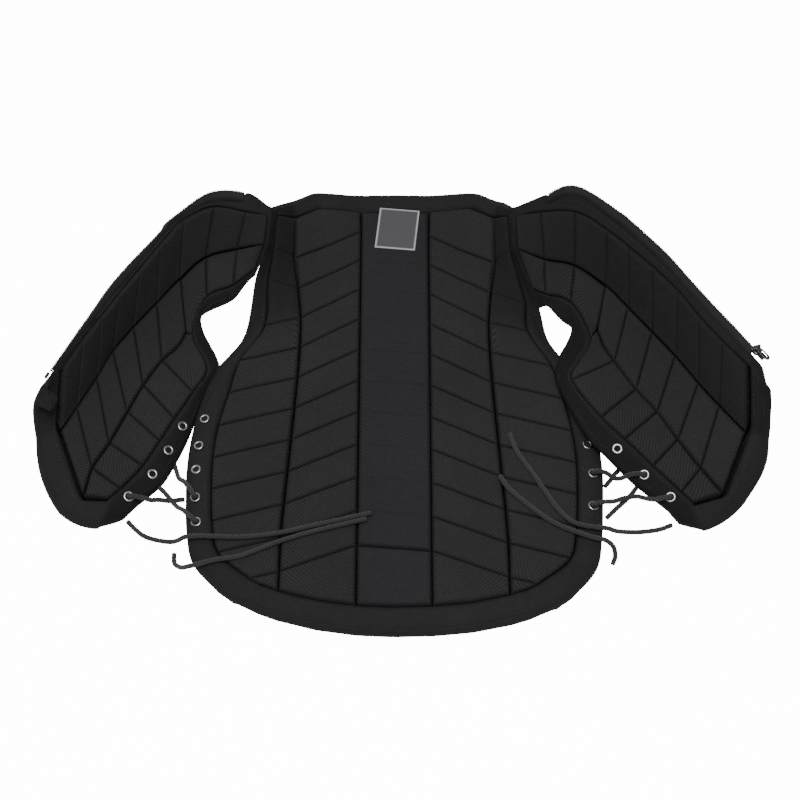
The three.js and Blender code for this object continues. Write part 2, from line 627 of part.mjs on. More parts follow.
// Fronts: each a shell with three columns of blocks.
Object.keys(sideSign).forEach((name) => {
  const surface = frontSurface(name);
  // Past the corner of the neck the cloth ends short of the zip's teeth.
  const zipEdge = (v) => THREE.MathUtils.smoothstep(v, 1, 1.3)
    * Math.min(zip.reach / inMillimetres(surface, [0, v], [1, v]), 0.6);
  const across = (v) => {
    const from = zipEdge(v);
    const zipWidth = inMillimetres(surface, [from, v], [1, v]);
    const armWidth = inMillimetres(surface, [5, v], [4, v]);
    return [
      ...borderLines(zipWidth).map(([share, kind]) => [from + (1 - from) * share, kind]),
      ...(v > pocketRow ? [2, 2.5, 3, 3.5] : [2, 3]).map((u) => [u, 4]),
      ...borderLines(armWidth).map(([share, kind]) => [5 - share, kind]).reverse(),
    ];
  };
  const rowLength = inMillimetres(surface, [2, 0], [2, 1]);
  const start = seam.band / rowLength;
  const gap = seam.gap / rowLength;
  const crossed = frontRows[name].map((row, i) => (row.block ? i + 1 : 0)).filter((v) => v > 0);
  const grooves = [start, ...crossed.slice(0, -1), pocketRow - front.endGap];
  const blocks = blockRows(grooves, (a, b) => inMillimetres(surface, [2, a], [2, b]));
  const along = [
    ...borderLines(seam.band).map(([share, kind]) => [Math.max(share * start, gap), kind]),
    ...blocks.map((row) => [row.v, 4]),
    ...borderLines(border.hem).map(([share, kind]) => [frontEdgeRow - share, kind]).reverse(),
  ];
  vest.add(part(`front_shell_${name}`, shellGeometry(surface, across, along), cloths.shell, 0.85));

  const armCorner = 3;
  const midEnd = (v) => (v < armCorner ? 4 : 3);
  const underArm = blocks.filter((row) => row.v > armCorner);
  const column = (l, r, rows, middles) => padGeometry(surface, l, r, rows, middles);
  vest.add(part(`front_outer_pads_${name}`, column(fixed(1), fixed(2), blocks, []), cloths.block, 0.85));
  vest.add(part(`front_mid_pads_${name}`, column(fixed(2), midEnd, blocks, [3]), cloths.block, 0.85));
  vest.add(part(`front_inner_pads_${name}`, column(fixed(3), fixed(4), underArm, []), cloths.block, 0.85));
});

// The zip: a tape along each front's edge, its teeth as one strip, and the end pieces.
function strip(surface, from, to, high, low, rows) {
  const line = (height) => rows.map((v) => [from(v), to(v)].map((u) => placed(surface, u, v, height)));
  return bodyBetween(line(high), line(low));
}
const zipRows = (name) => [zip.from, ...range(2, Math.floor(zip.to)).flatMap((v) => [v, v + 0.5]), zip.to]
  .filter((v, i, all) => v <= zip.to && (i === 0 || v > all[i - 1]) && sideSign[name]);
Object.keys(sideSign).forEach((name) => {
  const surface = frontSurface(name);
  const inMm = (mm) => (v) => mm / inMillimetres(surface, [0, v], [1, v]);
  const tapeEdge = inMm(zip.reach - zip.gap * 4);
  const toothEdge = inMm(zip.toothWidth);
  const tapeStart = inMm(zip.toothWidth + zip.gap);
  const middle = -zip.placket * 0.7;
  vest.add(part(
    `zip_tape_${name}`,
    strip(surface, tapeStart, tapeEdge, middle + zip.tape / 2, middle - zip.tape / 2, zipRows(name)),
    cloths.zipTape,
    0.8,
  ));
  vest.add(part(
    `zip_teeth_${name}`,
    strip(surface, fixed(0), toothEdge, middle + zip.toothHeight / 2, middle - zip.toothHeight / 2, zipRows(name)),
    cloths.zipTape,
    0.45,
  ));
});

// A group on the zip's edge: its Y axis runs along the zip toward the hem, its Z axis is up.
function onZip(name, v) {
  const surface = frontSurface(name);
  const from = placed(surface, 0, v, -zip.placket * 0.7);
  const ahead = placed(surface, 0, v + step, -zip.placket * 0.7).sub(from);
  const group = new THREE.Group();
  group.position.copy(from);
  group.rotation.z = Math.atan2(ahead.y, ahead.x) - Math.PI / 2;
  vest.add(group);
  return group;
}
function box(width, length, height, x = 0, y = 0, z = 0) {
  return new THREE.BoxGeometry(width, length, height).translate(x, y, z);
}
const wasm = await Module();
wasm.setup();
function solid(geometry) {
  const bare = new THREE.BufferGeometry();
  bare.setAttribute('position', geometry.attributes.position);
  bare.setIndex(geometry.index);
  const welded = mergeVertices(bare, 1e-4);
  return new wasm.Manifold(new wasm.Mesh({
    numProp: 3,
    vertProperties: welded.attributes.position.array,
    triVerts: new Uint32Array(welded.index.array),
  }));
}
function joined(geometries) {
  const mesh = geometries.map(solid).reduce((a, b) => a.add(b)).getMesh();
  const geometry = new THREE.BufferGeometry();
  geometry.setAttribute('position', new THREE.BufferAttribute(mesh.vertProperties, 3));
  geometry.setIndex(new THREE.BufferAttribute(mesh.triVerts, 1));
  geometry.computeVertexNormals();
  return geometry;
}

// The slider has two lugs with a pin between them, and the pull tab's fork hangs round the pin.
const sliderGroup = onZip('right', slider.at);
const pinHeight = slider.height / 2 + slider.pinRise;
const lugAt = pull.width / 2 + pull.sideGap + slider.lug / 2;
const lugLength = 3 * slider.pin;
const pin = new THREE.CylinderGeometry(slider.pin, slider.pin, 2 * lugAt, 12).rotateZ(Math.PI / 2);
sliderGroup.add(part(
  'zip_slider',
  joined([
    box(Math.max(slider.width, 2 * lugAt + slider.lug), slider.length, slider.height),
    ...[-1, 1].map((side) => box(
      slider.lug,
      lugLength,
      slider.pinRise + 2 * slider.pin,
      side * lugAt,
      0,
      slider.height / 2 + slider.pinRise / 2,
    )),
    pin.translate(0, 0, pinHeight),
  ]),
  metals.dark,
  0.4,
  0.9,
));
const forkGap = slider.pin + pull.play;
const plateStart = forkGap;
sliderGroup.add(part(
  'zip_pull_tab',
  joined([
    box(
      pull.width,
      pull.length - plateStart,
      pull.thickness,
      0,
      (pull.length + plateStart) / 2,
      pinHeight,
    ),
    box(pull.width, pull.finger * 2, 2 * (forkGap + pull.finger), 0, plateStart + pull.finger, pinHeight),
    ...[-1, 1].map((side) => box(
      pull.width,
      pull.fork,
      pull.finger,
      0,
      plateStart + pull.finger - pull.fork / 2,
      pinHeight + side * (forkGap + pull.finger / 2),
    )),
  ]),
  metals.dark,
  0.35,
  0.9,
));
const boxGroup = onZip('right', slider.at);
boxGroup.add(part(
  'zip_box',
  box(zipEnd.width, zipEnd.length, zipEnd.height, 0, slider.length / 2 + seat + zipEnd.length / 2, 0),
  metals.dark,
  0.5,
  0.5,
));
const pinGroup = onZip('left', zip.to);
pinGroup.add(part(
  'zip_pin',
  box(zipEnd.pinWidth, zipEnd.length, zipEnd.height, 0, zip.gap * 3 + zipEnd.length / 2, 0),
  metals.dark,
  0.5,
  0.5,
));

// Eyelets along the sides: where each stands on its border, as [u, v].
const eyelets = {
  back_left: [[-4.56, 6.67], [-4.56, 7.5], [-4.56, 8.25], [-4.56, 9.13], [-4.55, 9.9]],
  back_right: [[4.45, 7.33], [4.56, 8.2], [4.56, 9.22]],
  front_left: [[4.5, 6], [4.5, 7], [4.5, 8], [4.5, 9.05]],
  front_right: [[4.5, 7.05], [4.5, 8.05], [4.5, 8.9]],
};
const upward = new THREE.Vector3(0, 0, 1);
const eyeletSeats = {};
Object.entries(eyelets).forEach(([strap, places]) => {
  const [panel, name] = strap.split('_');
  const surface = panel === 'back' ? backSurface : frontSurface(name);
  const onBorder = (u, v) => placed(surface, u, v, -border.drop - border.sink * surface.edge(u, v));
  places.forEach(([u, v], i) => {
    const acrossBorder = onBorder(u + 0.2, v).sub(onBorder(u - 0.2, v));
    const normal = acrossBorder.cross(onBorder(u, v + 0.3).sub(onBorder(u, v - 0.3))).normalize();
    if (normal.z < 0) normal.negate();
    const at = onBorder(u, v).addScaledVector(normal, eyelet.lift);
    const ring = new THREE.LatheGeometry([
      new THREE.Vector2(eyelet.bore, 0),
      new THREE.Vector2(eyelet.outer, 0),
      new THREE.Vector2(eyelet.outer - 0.8, eyelet.height),
      new THREE.Vector2(eyelet.bore + 0.1, eyelet.height),
      new THREE.Vector2(eyelet.bore, 0),
    ], eyelet.sides).rotateX(Math.PI / 2);
    const mesh = part(`eyelet_${strap}_${i + 1}`, ring, metals.silver, 0.3, 1);
    mesh.position.copy(at);
    mesh.quaternion.setFromUnitVectors(upward, normal);
    vest.add(mesh);
    eyeletSeats[`${strap}_${i + 1}`] = { at, normal };
  });
});

// The laces. Each point is [out, down, rise], shares of the way, drop and foam thickness, and
// a name is the eyelet in which that end stands.
const laces = {
  left: {
    lace_loop_left: [
      [0.706, 0.965, 0.17], [0.688, 0.983, 0.16], [0.66, 1.005, 0.16], [0.627, 1.016, 0.16], [0.588, 1.022, 0.18],
      [0.568, 1.023, 0.4], [0.548, 1.025, 0.86], [0.507, 1.027, 1.05], [0.465, 1.031, 1.16], [0.402, 1.033, 1.16],
      [0.304, 1.022, 1.16], [0.195, 0.997, 1.16], [0.061, 0.966, 1.16],
    ],
    lace_bight_left: [
      [0.577, 1.054, 0.16], [0.574, 1.08, 0.17], [0.557, 1.096, 0.38], [0.53, 1.104, 0.86], [0.498, 1.1, 1.04],
      [0.462, 1.093, 1.13], [0.4, 1.084, 1.16], [0.338, 1.06, 1.16], [0.298, 1.044, 1.16], [0.236, 1.024, 1.16],
      [0.153, 1.002, 1.16], [0.074, 0.983, 1.16],
    ],
    lace_span_left_1: [
      'front_left_4', [0.684, 0.917, 1.06], [0.664, 0.914, 0.75], [0.648, 0.908, 0.3], [0.63, 0.904, 0.17],
      [0.595, 0.907, 0.16], [0.573, 0.904, 0.16],
    ],
    lace_span_left_2: [
      [0.633, 0.866, 0.17], [0.617, 0.884, 0.36], [0.6, 0.905, 0.48], [0.578, 0.93, 0.5], [0.556, 0.952, 0.9],
      [0.54, 0.97, 1.08], 'back_left_5',
    ],
    lace_span_left_3: [[0.588, 0.818, 0.17], [0.578, 0.845, 0.3], [0.56, 0.87, 0.86], [0.546, 0.89, 1.08], 'back_left_4'],
  },
  right: {
    lace_loop_right: [
      [0.733, 0.975, 0.17], [0.699, 0.987, 0.16], [0.648, 0.994, 0.16], [0.605, 0.994, 0.18], [0.583, 0.997, 0.4],
      [0.558, 1.001, 0.86], [0.527, 1.002, 1.02], [0.496, 1.0, 1.12], [0.467, 0.991, 1.16], [0.435, 0.961, 1.16],
      [0.398, 0.905, 1.16], [0.366, 0.851, 1.16], [0.328, 0.791, 1.16], [0.311, 0.741, 1.16],
    ],
    lace_bight_right: [
      [0.28, 0.862, 1.16], [0.3, 0.894, 1.16], [0.349, 0.941, 1.16], [0.387, 0.972, 1.16], [0.43, 1.0, 1.17],
      [0.492, 1.024, 1.14], [0.521, 1.031, 1.03], [0.55, 1.033, 0.86], [0.573, 1.04, 0.4], [0.578, 1.06, 0.18],
      [0.57, 1.082, 0.16],
    ],
    lace_span_right_1: [
      'front_right_3', [0.705, 0.922, 1.06], [0.685, 0.918, 0.75], [0.664, 0.906, 0.45], [0.645, 0.902, 0.47],
      [0.611, 0.907, 0.48], [0.583, 0.917, 0.52], [0.558, 0.928, 0.9], [0.542, 0.935, 1.08], 'back_right_3',
    ],
    lace_span_right_2: [[0.645, 0.872, 0.16], [0.623, 0.898, 0.16], [0.588, 0.93, 0.16], [0.574, 0.944, 0.16]],
    lace_span_right_3: [
      'front_right_2', [0.643, 0.856, 1.2], [0.624, 0.854, 0.95], [0.605, 0.85, 0.45], [0.589, 0.847, 0.33],
      [0.568, 0.846, 0.82], [0.547, 0.846, 1.08], 'back_right_2',
    ],
    lace_span_right_4: [[0.608, 0.814, 0.16], [0.592, 0.83, 0.16], [0.577, 0.85, 0.16]],
  },
};
function laceEnd(name) {
  const { at, normal } = eyeletSeats[name];
  return [eyelet.height + 0.15, lace.radius * 2].map((height) => at.clone().addScaledVector(normal, height));
}
function laceGeometry(points) {
  const path = new THREE.CatmullRomCurve3(points);
  const round = Array.from({ length: lace.sides }, (_, i) => new THREE.Vector2(
    lace.radius * Math.cos((2 * Math.PI * i) / lace.sides),
    lace.radius * Math.sin((2 * Math.PI * i) / lace.sides),
  ));
  const steps = Math.max(lace.leastSteps, Math.round(path.getLength() / lace.step));
  return new THREE.ExtrudeGeometry(new THREE.Shape(round), { steps, extrudePath: path, bevelEnabled: false });
}

vest.updateMatrixWorld(true);
const bounds = new THREE.Box3().setFromObject(vest);
Object.entries(laces).forEach(([name, routes]) => Object.entries(routes).forEach(([laceName, route]) => {
  const points = route.flatMap((point, i) => {
    if (typeof point === 'string') return i === 0 ? laceEnd(point) : laceEnd(point).reverse();
    const [out, down, rise] = point;
    return [new THREE.Vector3(
      sideSign[name] * outward(out),
      back.neckHeight - down * front.drop,
      rise * foam.thickness,
    )];
  });
  vest.add(part(laceName, laceGeometry(points), cloths.lace, 0.7));
}));

// A plain patch sewn to the lining under the neck.
const neckPatch = part('neck_patch', box(patch.width, patch.length, patch.thickness), cloths.patch, 0.75);
neckPatch.rotation.z = patch.turn;
neckPatch.position.set(
  patch.offCentre,
  patch.height * back.neckHeight,
  foam.thickness + seat + patch.thickness / 2,
);
vest.add(neckPatch);

// The origin is under the middle of the vest, laces aside.
const middle = bounds.getCenter(new THREE.Vector3());
vest.children.forEach((child) => child.position.sub(new THREE.Vector3(middle.x, middle.y, 0)));

export default vest;
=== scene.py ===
import json
import math

import bpy
import numpy as np
from bpy.props import FloatProperty, FloatVectorProperty, IntProperty, PointerProperty
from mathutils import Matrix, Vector


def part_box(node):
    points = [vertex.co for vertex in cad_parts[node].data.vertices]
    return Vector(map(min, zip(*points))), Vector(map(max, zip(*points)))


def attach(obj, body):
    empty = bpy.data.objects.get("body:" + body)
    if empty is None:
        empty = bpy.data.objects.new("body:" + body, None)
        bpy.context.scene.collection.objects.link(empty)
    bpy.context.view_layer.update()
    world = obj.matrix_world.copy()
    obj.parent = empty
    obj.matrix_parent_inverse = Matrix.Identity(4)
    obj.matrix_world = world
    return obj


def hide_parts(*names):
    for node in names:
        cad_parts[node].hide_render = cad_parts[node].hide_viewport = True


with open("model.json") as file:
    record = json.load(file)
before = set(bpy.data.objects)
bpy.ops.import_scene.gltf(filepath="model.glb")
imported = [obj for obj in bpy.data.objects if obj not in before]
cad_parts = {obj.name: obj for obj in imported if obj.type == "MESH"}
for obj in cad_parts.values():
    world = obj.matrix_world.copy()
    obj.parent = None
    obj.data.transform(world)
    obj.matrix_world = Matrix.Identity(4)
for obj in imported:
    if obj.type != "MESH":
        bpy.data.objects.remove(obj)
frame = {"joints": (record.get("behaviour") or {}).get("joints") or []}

bl_info = {
    "name": "Riding body protector",
    "version": (1, 0, 0),
    "blender": (4, 5, 0),
    "location": "3D View > Sidebar > Body protector",
    "description": "The looks of an unzipped, padded riding body protector laid open with its lining up",
    "category": "Object",
}

# Sizes in millimetres. X runs out to the side from the spine, Y from the tail to the neck, Z up.
MM = 0.001
FOAM = 20.0
FLOOR = 3.0
SEAT = 0.8
SEAM_THICKNESS = 2.4
SEAM_TAPER = 0.6
SEAM_BAND = 7.0
SEAM_GAP = 0.25
NECK_HEIGHT = 270.0
TAIL_DEPTH = 299.0
HALF_WIDTH = 229.0
HEM_HALF = 224.0
HEM_RISE = 119.0
BORDER = {"arm": 20.0, "side": 27.0, "hem": 30.0, "sink": 5.0, "drop": 2.0}
SPINE_WIDTH = 80.0
CHEVRON = {"first": 223.0, "pitch": 42.3, "rows": 11, "stagger": 3.5, "top": 43.0, "tail": 32.0,
           "slope": 0.27}
FRONT = {"reach": 410.0, "drop": 445.0, "lie": 22.0, "edge_lie": 16.0, "zip": 66.0, "ridge": 38.0,
         "over": 20.0, "squash": 6.0, "end_gap": 0.14}
HEM_ROUND = 6.0
ZIP_SLIM = 9.0
ZIP = {"reach": 8.0, "placket": 6.0, "tooth": 3.4, "tooth_height": 2.8, "tooth_length": 1.5, "pitch": 2.5,
       "gap": 0.3, "start": 1.12, "into_slider": 0.14, "end": 9.68, "tape": 1.2, "under_shell": 5.0}
ZIP_MIDDLE = -ZIP["placket"] * 0.7
SLIDER = {"width": 10.2, "length": 11.0, "height": 5.0, "lug": 1.2, "lug_at": 4.5, "pin": 0.8, "rise": 3.4}
PIN_RISE = SLIDER["height"] / 2 + SLIDER["rise"]
PULL = {"length": 20.0, "width": 7.0, "thickness": 1.6, "fork": 3.6, "finger": 0.8, "gap": 1.2}
ZIP_END = {"width": 7.0, "length": 8.0, "height": 3.5, "pin": 3.0}
EYELET = {"outer": 6.0, "bore": 3.0, "height": 2.0, "lift": 1.3}
LACE_RADIUS = 2.7
PATCH = {"width": 48.0, "length": 60.0, "turn": -0.1, "x": 2.8, "y": 0.843 * 270.0, "rise": 0.3,
         "thickness": 0.8, "under": 0.75, "into": 0.3, "bow": 0.35, "bow_length": 40.0, "flat_edge": 8.0,
         "outline_at": 1.1, "outline": 0.9}
# A pad's gap beside its groove, how far in its crown and its waves reach, and how much of a row's
# groove is lost where the lining is taut.
PAD = {"inset": 0.45, "crown_across": 22.0, "crown_along": 18.0, "wave": 34.0, "taut": 0.75}
# Distances from a block's end at which its grid has a line.
END_STEPS = (0, 0.5, 1.1, 1.9, 2.9, 4.2, 6.0)
# A border's two sewn lines, from its inner and its outer edge, and the puckers' width.
SEWN = {"inner": 5.0, "outer": 6.5, "width": 1.1}
# Thread stitches, on lines given as shares of the border from its inner edge.
STITCH = {"pitch": 4.6, "length": 3.2, "width": 0.75, "lift": 0.15, "lines": (0.2, 0.76)}
# Where the lining is taut or turned from the light: the u or v at which that starts and is whole,
# and how taut or how dark it is there.
RIDGE = {"across": (2.98, 3.15), "along": (3.2, 4.6), "dark": 0.75}
CURL = {"taut_until": (1.8, 2.1), "taut": 0.5, "dark_until": (1.9, 2.05), "dark": {"left": 0.3, "right": 0.5}}
ARM_EDGE = {"from": (4.02, 4.3), "dark": 0.85}
SEAM_EDGE = {"until": (0.1, 0.5), "dark": 0.6}
SIDES = {"left": -1.0, "right": 1.0}

# Half width of the back below the armhole's top: height as a share of the neck's height, or of the
# tail's depth where negative, and half width as a share of the chest's.
BACK_OUTLINE = [(-0.602, 0.979), (-0.36, 1.0), (-0.19, 0.988), (-0.05, 0.957), (0.05, 0.912), (0.163, 0.872),
                (0.222, 0.82), (0.285, 0.765), (0.37, 0.73), (0.47, 0.715), (0.62, 0.7)]
# The groove between the inner and outer blocks, in the same shares.
BACK_GROOVE = [(-0.78, 0.537), (-0.5, 0.529), (-0.23, 0.507), (0.05, 0.485), (0.33, 0.47), (0.52, 0.472),
               (0.68, 0.487), (0.84, 0.51)]
# The neck edge and the first line of blocks: side, height and rise in foam thicknesses.
NECK_ROWS = [[(0, 1.054, 1.2), (0.175, 1.05, 1.2), (0.4, 1.045, 1.55), (0.5, 0.928, 2.3)],
             [(0, 0.948, 1), (0.175, 0.948, 1), (0.385, 0.953, 1.35), (0.505, 0.86, 1.9)]]
# The shoulder seam from the neck to the armhole: out and down as shares of reach and drop, rise in
# foam thicknesses.
SHOULDER_SEAM = {
    "left": [(0.346, 0.115, 3.7), (0.346, 0.133, 3.5), (0.356, 0.209, 3.0), (0.392, 0.272, 1.7)],
    "right": [(0.33, 0.115, 3.7), (0.327, 0.135, 3.5), (0.333, 0.219, 3.0), (0.405, 0.362, 1.3)],
}
# Rows of each front: out and down of the zip edge, first line of blocks, outer seam, inner seam,
# last line of blocks and arm edge, then lift of the zip edge, shoulder ridge and lap over the back.
FRONT_ROWS = {
    "left": [
        (0.414, 0.09, 0.419, 0.139, 0.449, 0.207, 0.454, 0.252, 0.456, 0.294, 0.451, 0.323, 0.98, 0.5, 0),
        (0.517, 0.088, 0.51, 0.124, 0.537, 0.216, 0.534, 0.272, 0.53, 0.322, 0.522, 0.354, 1, 0.2, 0),
        (0.61, 0.168, 0.592, 0.168, 0.607, 0.274, 0.582, 0.431, 0.563, 0.436, 0.527, 0.407, 1, 0.05, 0),
        (0.637, 0.206, 0.62, 0.208, 0.639, 0.312, 0.61, 0.481, 0.517, 0.54, 0.476, 0.518, 1, 0, 0),
        (0.668, 0.25, 0.649, 0.25, 0.668, 0.351, 0.644, 0.515, 0.552, 0.614, 0.511, 0.604, 1, 0, 0),
        (0.724, 0.324, 0.7, 0.33, 0.727, 0.427, 0.69, 0.591, 0.597, 0.692, 0.55, 0.726, 1, 0, 0),
        (0.776, 0.402, 0.749, 0.407, 0.778, 0.501, 0.727, 0.672, 0.632, 0.757, 0.582, 0.802, 1, 0, 0),
        (0.822, 0.492, 0.793, 0.478, 0.815, 0.582, 0.768, 0.764, 0.673, 0.829, 0.617, 0.867, 1, 0, 0),
        (0.871, 0.587, 0.837, 0.55, 0.861, 0.672, 0.807, 0.836, 0.727, 0.894, 0.676, 0.925, 1, 0, 0),
        (0.92, 0.676, 0.885, 0.634, 0.905, 0.742, 0.829, 0.922, 0.758, 0.926, 0.697, 0.947, 0.95, 0, 0),
        (0.914, 0.694, 0.928, 0.708, 0.968, 0.754, 0.896, 0.94, 0.778, 0.991, 0.71, 0.965, 0.85, 0, 0),
    ],
    "right": [
        (0.424, 0.095, 0.412, 0.137, 0.424, 0.24, 0.424, 0.276, 0.427, 0.324, 0.434, 0.355, 0.98, 0.5, 0),
        (0.51, 0.066, 0.507, 0.139, 0.51, 0.243, 0.502, 0.289, 0.495, 0.338, 0.478, 0.393, 1, 0.2, 0),
        (0.624, 0.155, 0.59, 0.204, 0.595, 0.297, 0.563, 0.431, 0.544, 0.463, 0.474, 0.45, 1.03, 0.05, 0.5),
        (0.656, 0.187, 0.622, 0.234, 0.627, 0.33, 0.578, 0.485, 0.505, 0.548, 0.45, 0.51, 1.03, 0, 0.85),
        (0.685, 0.219, 0.649, 0.262, 0.654, 0.364, 0.605, 0.533, 0.482, 0.607, 0.436, 0.6, 1.03, 0, 1.05),
        (0.746, 0.29, 0.71, 0.324, 0.715, 0.44, 0.659, 0.618, 0.556, 0.715, 0.507, 0.751, 1.03, 0, 1),
        (0.805, 0.376, 0.773, 0.4, 0.773, 0.515, 0.712, 0.683, 0.617, 0.773, 0.566, 0.816, 1.03, 0, 0.8),
        (0.859, 0.452, 0.824, 0.479, 0.829, 0.598, 0.763, 0.757, 0.69, 0.836, 0.632, 0.872, 1.03, 0, 0.25),
        (0.917, 0.528, 0.88, 0.553, 0.88, 0.665, 0.817, 0.836, 0.761, 0.903, 0.712, 0.935, 1.03, 0, 0),
        (0.966, 0.59, 0.945, 0.625, 0.952, 0.748, 0.878, 0.912, 0.79, 0.937, 0.728, 0.953, 0.98, 0, 0),
        (0.978, 0.61, 0.98, 0.684, 1.01, 0.76, 0.941, 0.906, 0.81, 0.998, 0.742, 0.975, 0.86, 0, 0),
    ],
}
FRONT_GROOVES = (1, 2, 3, 5, 6, 7, 8, 9)
# How much of a row's lift, ridge and lap each of its six points takes.
LEAN = np.array([1, 0.88, 0.09, 0, 0, 0])
RIDGE_SHARE = np.array([0, 0, 1, 0.84, 0.53, 0.53])
OVER_SHARE = np.array([0, 0, 0, 0.5, 1, 1])
# Eyelets as places across and along their panels.
EYELETS = {
    ("back", "left"): [(-4.56, 6.67), (-4.56, 7.5), (-4.56, 8.25), (-4.56, 9.13), (-4.55, 9.9)],
    ("back", "right"): [(4.45, 7.33), (4.56, 8.2), (4.56, 9.22)],
    ("front", "left"): [(4.5, 6), (4.5, 7), (4.5, 8), (4.5, 9.05)],
    ("front", "right"): [(4.5, 7.05), (4.5, 8.05), (4.5, 8.9)],
}
# Laces: each point is out and down as shares of reach and drop, and rise in foam thicknesses. A
# name is the eyelet in which that end stands.
LACES = {
    "lace_loop_left": [
        (0.706, 0.965, 0.17), (0.688, 0.983, 0.16), (0.66, 1.005, 0.16), (0.627, 1.016, 0.16),
        (0.588, 1.022, 0.18), (0.568, 1.023, 0.4), (0.548, 1.025, 0.86), (0.507, 1.027, 1.05),
        (0.465, 1.031, 1.16), (0.402, 1.033, 1.16), (0.304, 1.022, 1.16), (0.195, 0.997, 1.16),
        (0.061, 0.966, 1.16)],
    "lace_bight_left": [
        (0.577, 1.054, 0.16), (0.574, 1.08, 0.17), (0.557, 1.096, 0.38), (0.53, 1.104, 0.86),
        (0.498, 1.1, 1.04), (0.462, 1.093, 1.13), (0.4, 1.084, 1.16), (0.338, 1.06, 1.16),
        (0.298, 1.044, 1.16), (0.236, 1.024, 1.16), (0.153, 1.002, 1.16), (0.074, 0.983, 1.16)],
    "lace_span_left_1": [
        "front_left_4", (0.684, 0.917, 1.06), (0.664, 0.914, 0.75), (0.648, 0.908, 0.3),
        (0.63, 0.904, 0.17), (0.595, 0.907, 0.16), (0.573, 0.904, 0.16), (0.56, 0.903, 0.16)],
    "lace_span_left_2": [
        (0.633, 0.866, 0.17), (0.617, 0.884, 0.36), (0.6, 0.905, 0.48), (0.578, 0.93, 0.5),
        (0.556, 0.952, 0.9), (0.54, 0.97, 1.08), "back_left_5"],
    "lace_span_left_3": [
        (0.595, 0.8, 0.17), (0.588, 0.818, 0.17), (0.578, 0.845, 0.3), (0.56, 0.87, 0.86),
        (0.546, 0.89, 1.08), "back_left_4"],
    "lace_loop_right": [
        (0.733, 0.975, 0.17), (0.699, 0.987, 0.16), (0.648, 0.994, 0.16), (0.605, 0.994, 0.18),
        (0.583, 0.997, 0.4), (0.558, 1.001, 0.86), (0.527, 1.002, 1.02), (0.496, 1.0, 1.12),
        (0.467, 0.991, 1.16), (0.435, 0.961, 1.16), (0.398, 0.905, 1.16), (0.366, 0.851, 1.16),
        (0.328, 0.791, 1.16), (0.311, 0.741, 1.16)],
    "lace_bight_right": [
        (0.28, 0.862, 1.16), (0.3, 0.894, 1.16), (0.349, 0.941, 1.16), (0.387, 0.972, 1.16),
        (0.43, 1.0, 1.17), (0.492, 1.024, 1.14), (0.521, 1.031, 1.03), (0.55, 1.033, 0.86),
        (0.573, 1.04, 0.4), (0.578, 1.06, 0.18), (0.57, 1.082, 0.16)],
    "lace_span_right_1": [
        "front_right_3", (0.705, 0.922, 1.06), (0.685, 0.918, 0.75), (0.664, 0.906, 0.45),
        (0.645, 0.902, 0.47), (0.611, 0.907, 0.48), (0.583, 0.917, 0.52), (0.558, 0.928, 0.9),
        (0.542, 0.935, 1.08), "back_right_3"],
    "lace_span_right_2": [
        (0.653, 0.862, 0.16), (0.645, 0.872, 0.16), (0.623, 0.898, 0.16), (0.588, 0.93, 0.16),
        (0.562, 0.955, 0.16)],
    "lace_span_right_3": [
        "front_right_2", (0.643, 0.856, 1.2), (0.624, 0.854, 0.95), (0.605, 0.85, 0.45),
        (0.589, 0.847, 0.33), (0.568, 0.846, 0.82), (0.547, 0.846, 1.08), "back_right_2"],
    "lace_span_right_4": [
        (0.622, 0.802, 0.16), (0.608, 0.814, 0.16), (0.592, 0.83, 0.16), (0.577, 0.85, 0.16),
        (0.563, 0.866, 0.16)],
}

# Where the drawn frame's origin stands in the model, found from the neck patch.
PATCH_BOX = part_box("neck_patch")
PLACE = np.array([
    (PATCH_BOX[0].x + PATCH_BOX[1].x) / 2 - PATCH["x"] * MM,
    (PATCH_BOX[0].y + PATCH_BOX[1].y) / 2 - PATCH["y"] * MM,
    0.0,
])


def unit(vectors):
    """Each vector divided by its own length."""
    return vectors / np.maximum(np.linalg.norm(vectors, axis=-1, keepdims=True), 1e-9)


def length_of(vectors):
    """The length of each vector."""
    return np.linalg.norm(vectors, axis=-1)


def height_curve(rows):
    """A cubic between each two rows, whose slope at a row is that of the line through its neighbours."""
    at = np.array([(h * (TAIL_DEPTH if h < 0 else NECK_HEIGHT), w * HALF_WIDTH) for h, w in rows])
    before = at[np.maximum(np.arange(len(at)) - 1, 0)]
    after = at[np.minimum(np.arange(len(at)) + 1, len(at) - 1)]
    slope = (after[:, 1] - before[:, 1]) / (after[:, 0] - before[:, 0])

    def width_at(y):
        inside = np.clip(y, at[0, 0], at[-1, 0])
        k = int(np.clip(np.searchsorted(at[:, 0], inside), 1, len(at) - 1))
        span = at[k, 0] - at[k - 1, 0]
        t = (inside - at[k - 1, 0]) / span
        bend = span * t * (1 - t) * ((1 - t) * slope[k - 1] - t * slope[k])
        return at[k - 1, 1] + (at[k, 1] - at[k - 1, 1]) * t * t * (3 - 2 * t) + bend

    return width_at


side_half = height_curve(BACK_OUTLINE)
groove_half = height_curve(BACK_GROOVE)


def smoothstep(x, low, high):
    """Zero below low, one above high, and three t squared less two t cubed between."""
    t = np.clip((x - low) / (high - low), 0, 1)
    return t * t * (3 - 2 * t)


def hem_height(x, inset, power):
    """Half an oval: one less a power of x as a share of the half width, to one over the power."""
    share = np.clip(x / (HEM_HALF - inset), 0, 1)
    return HEM_RISE - TAIL_DEPTH - (HEM_RISE - inset) * (1 - share ** power) ** (1 / power)


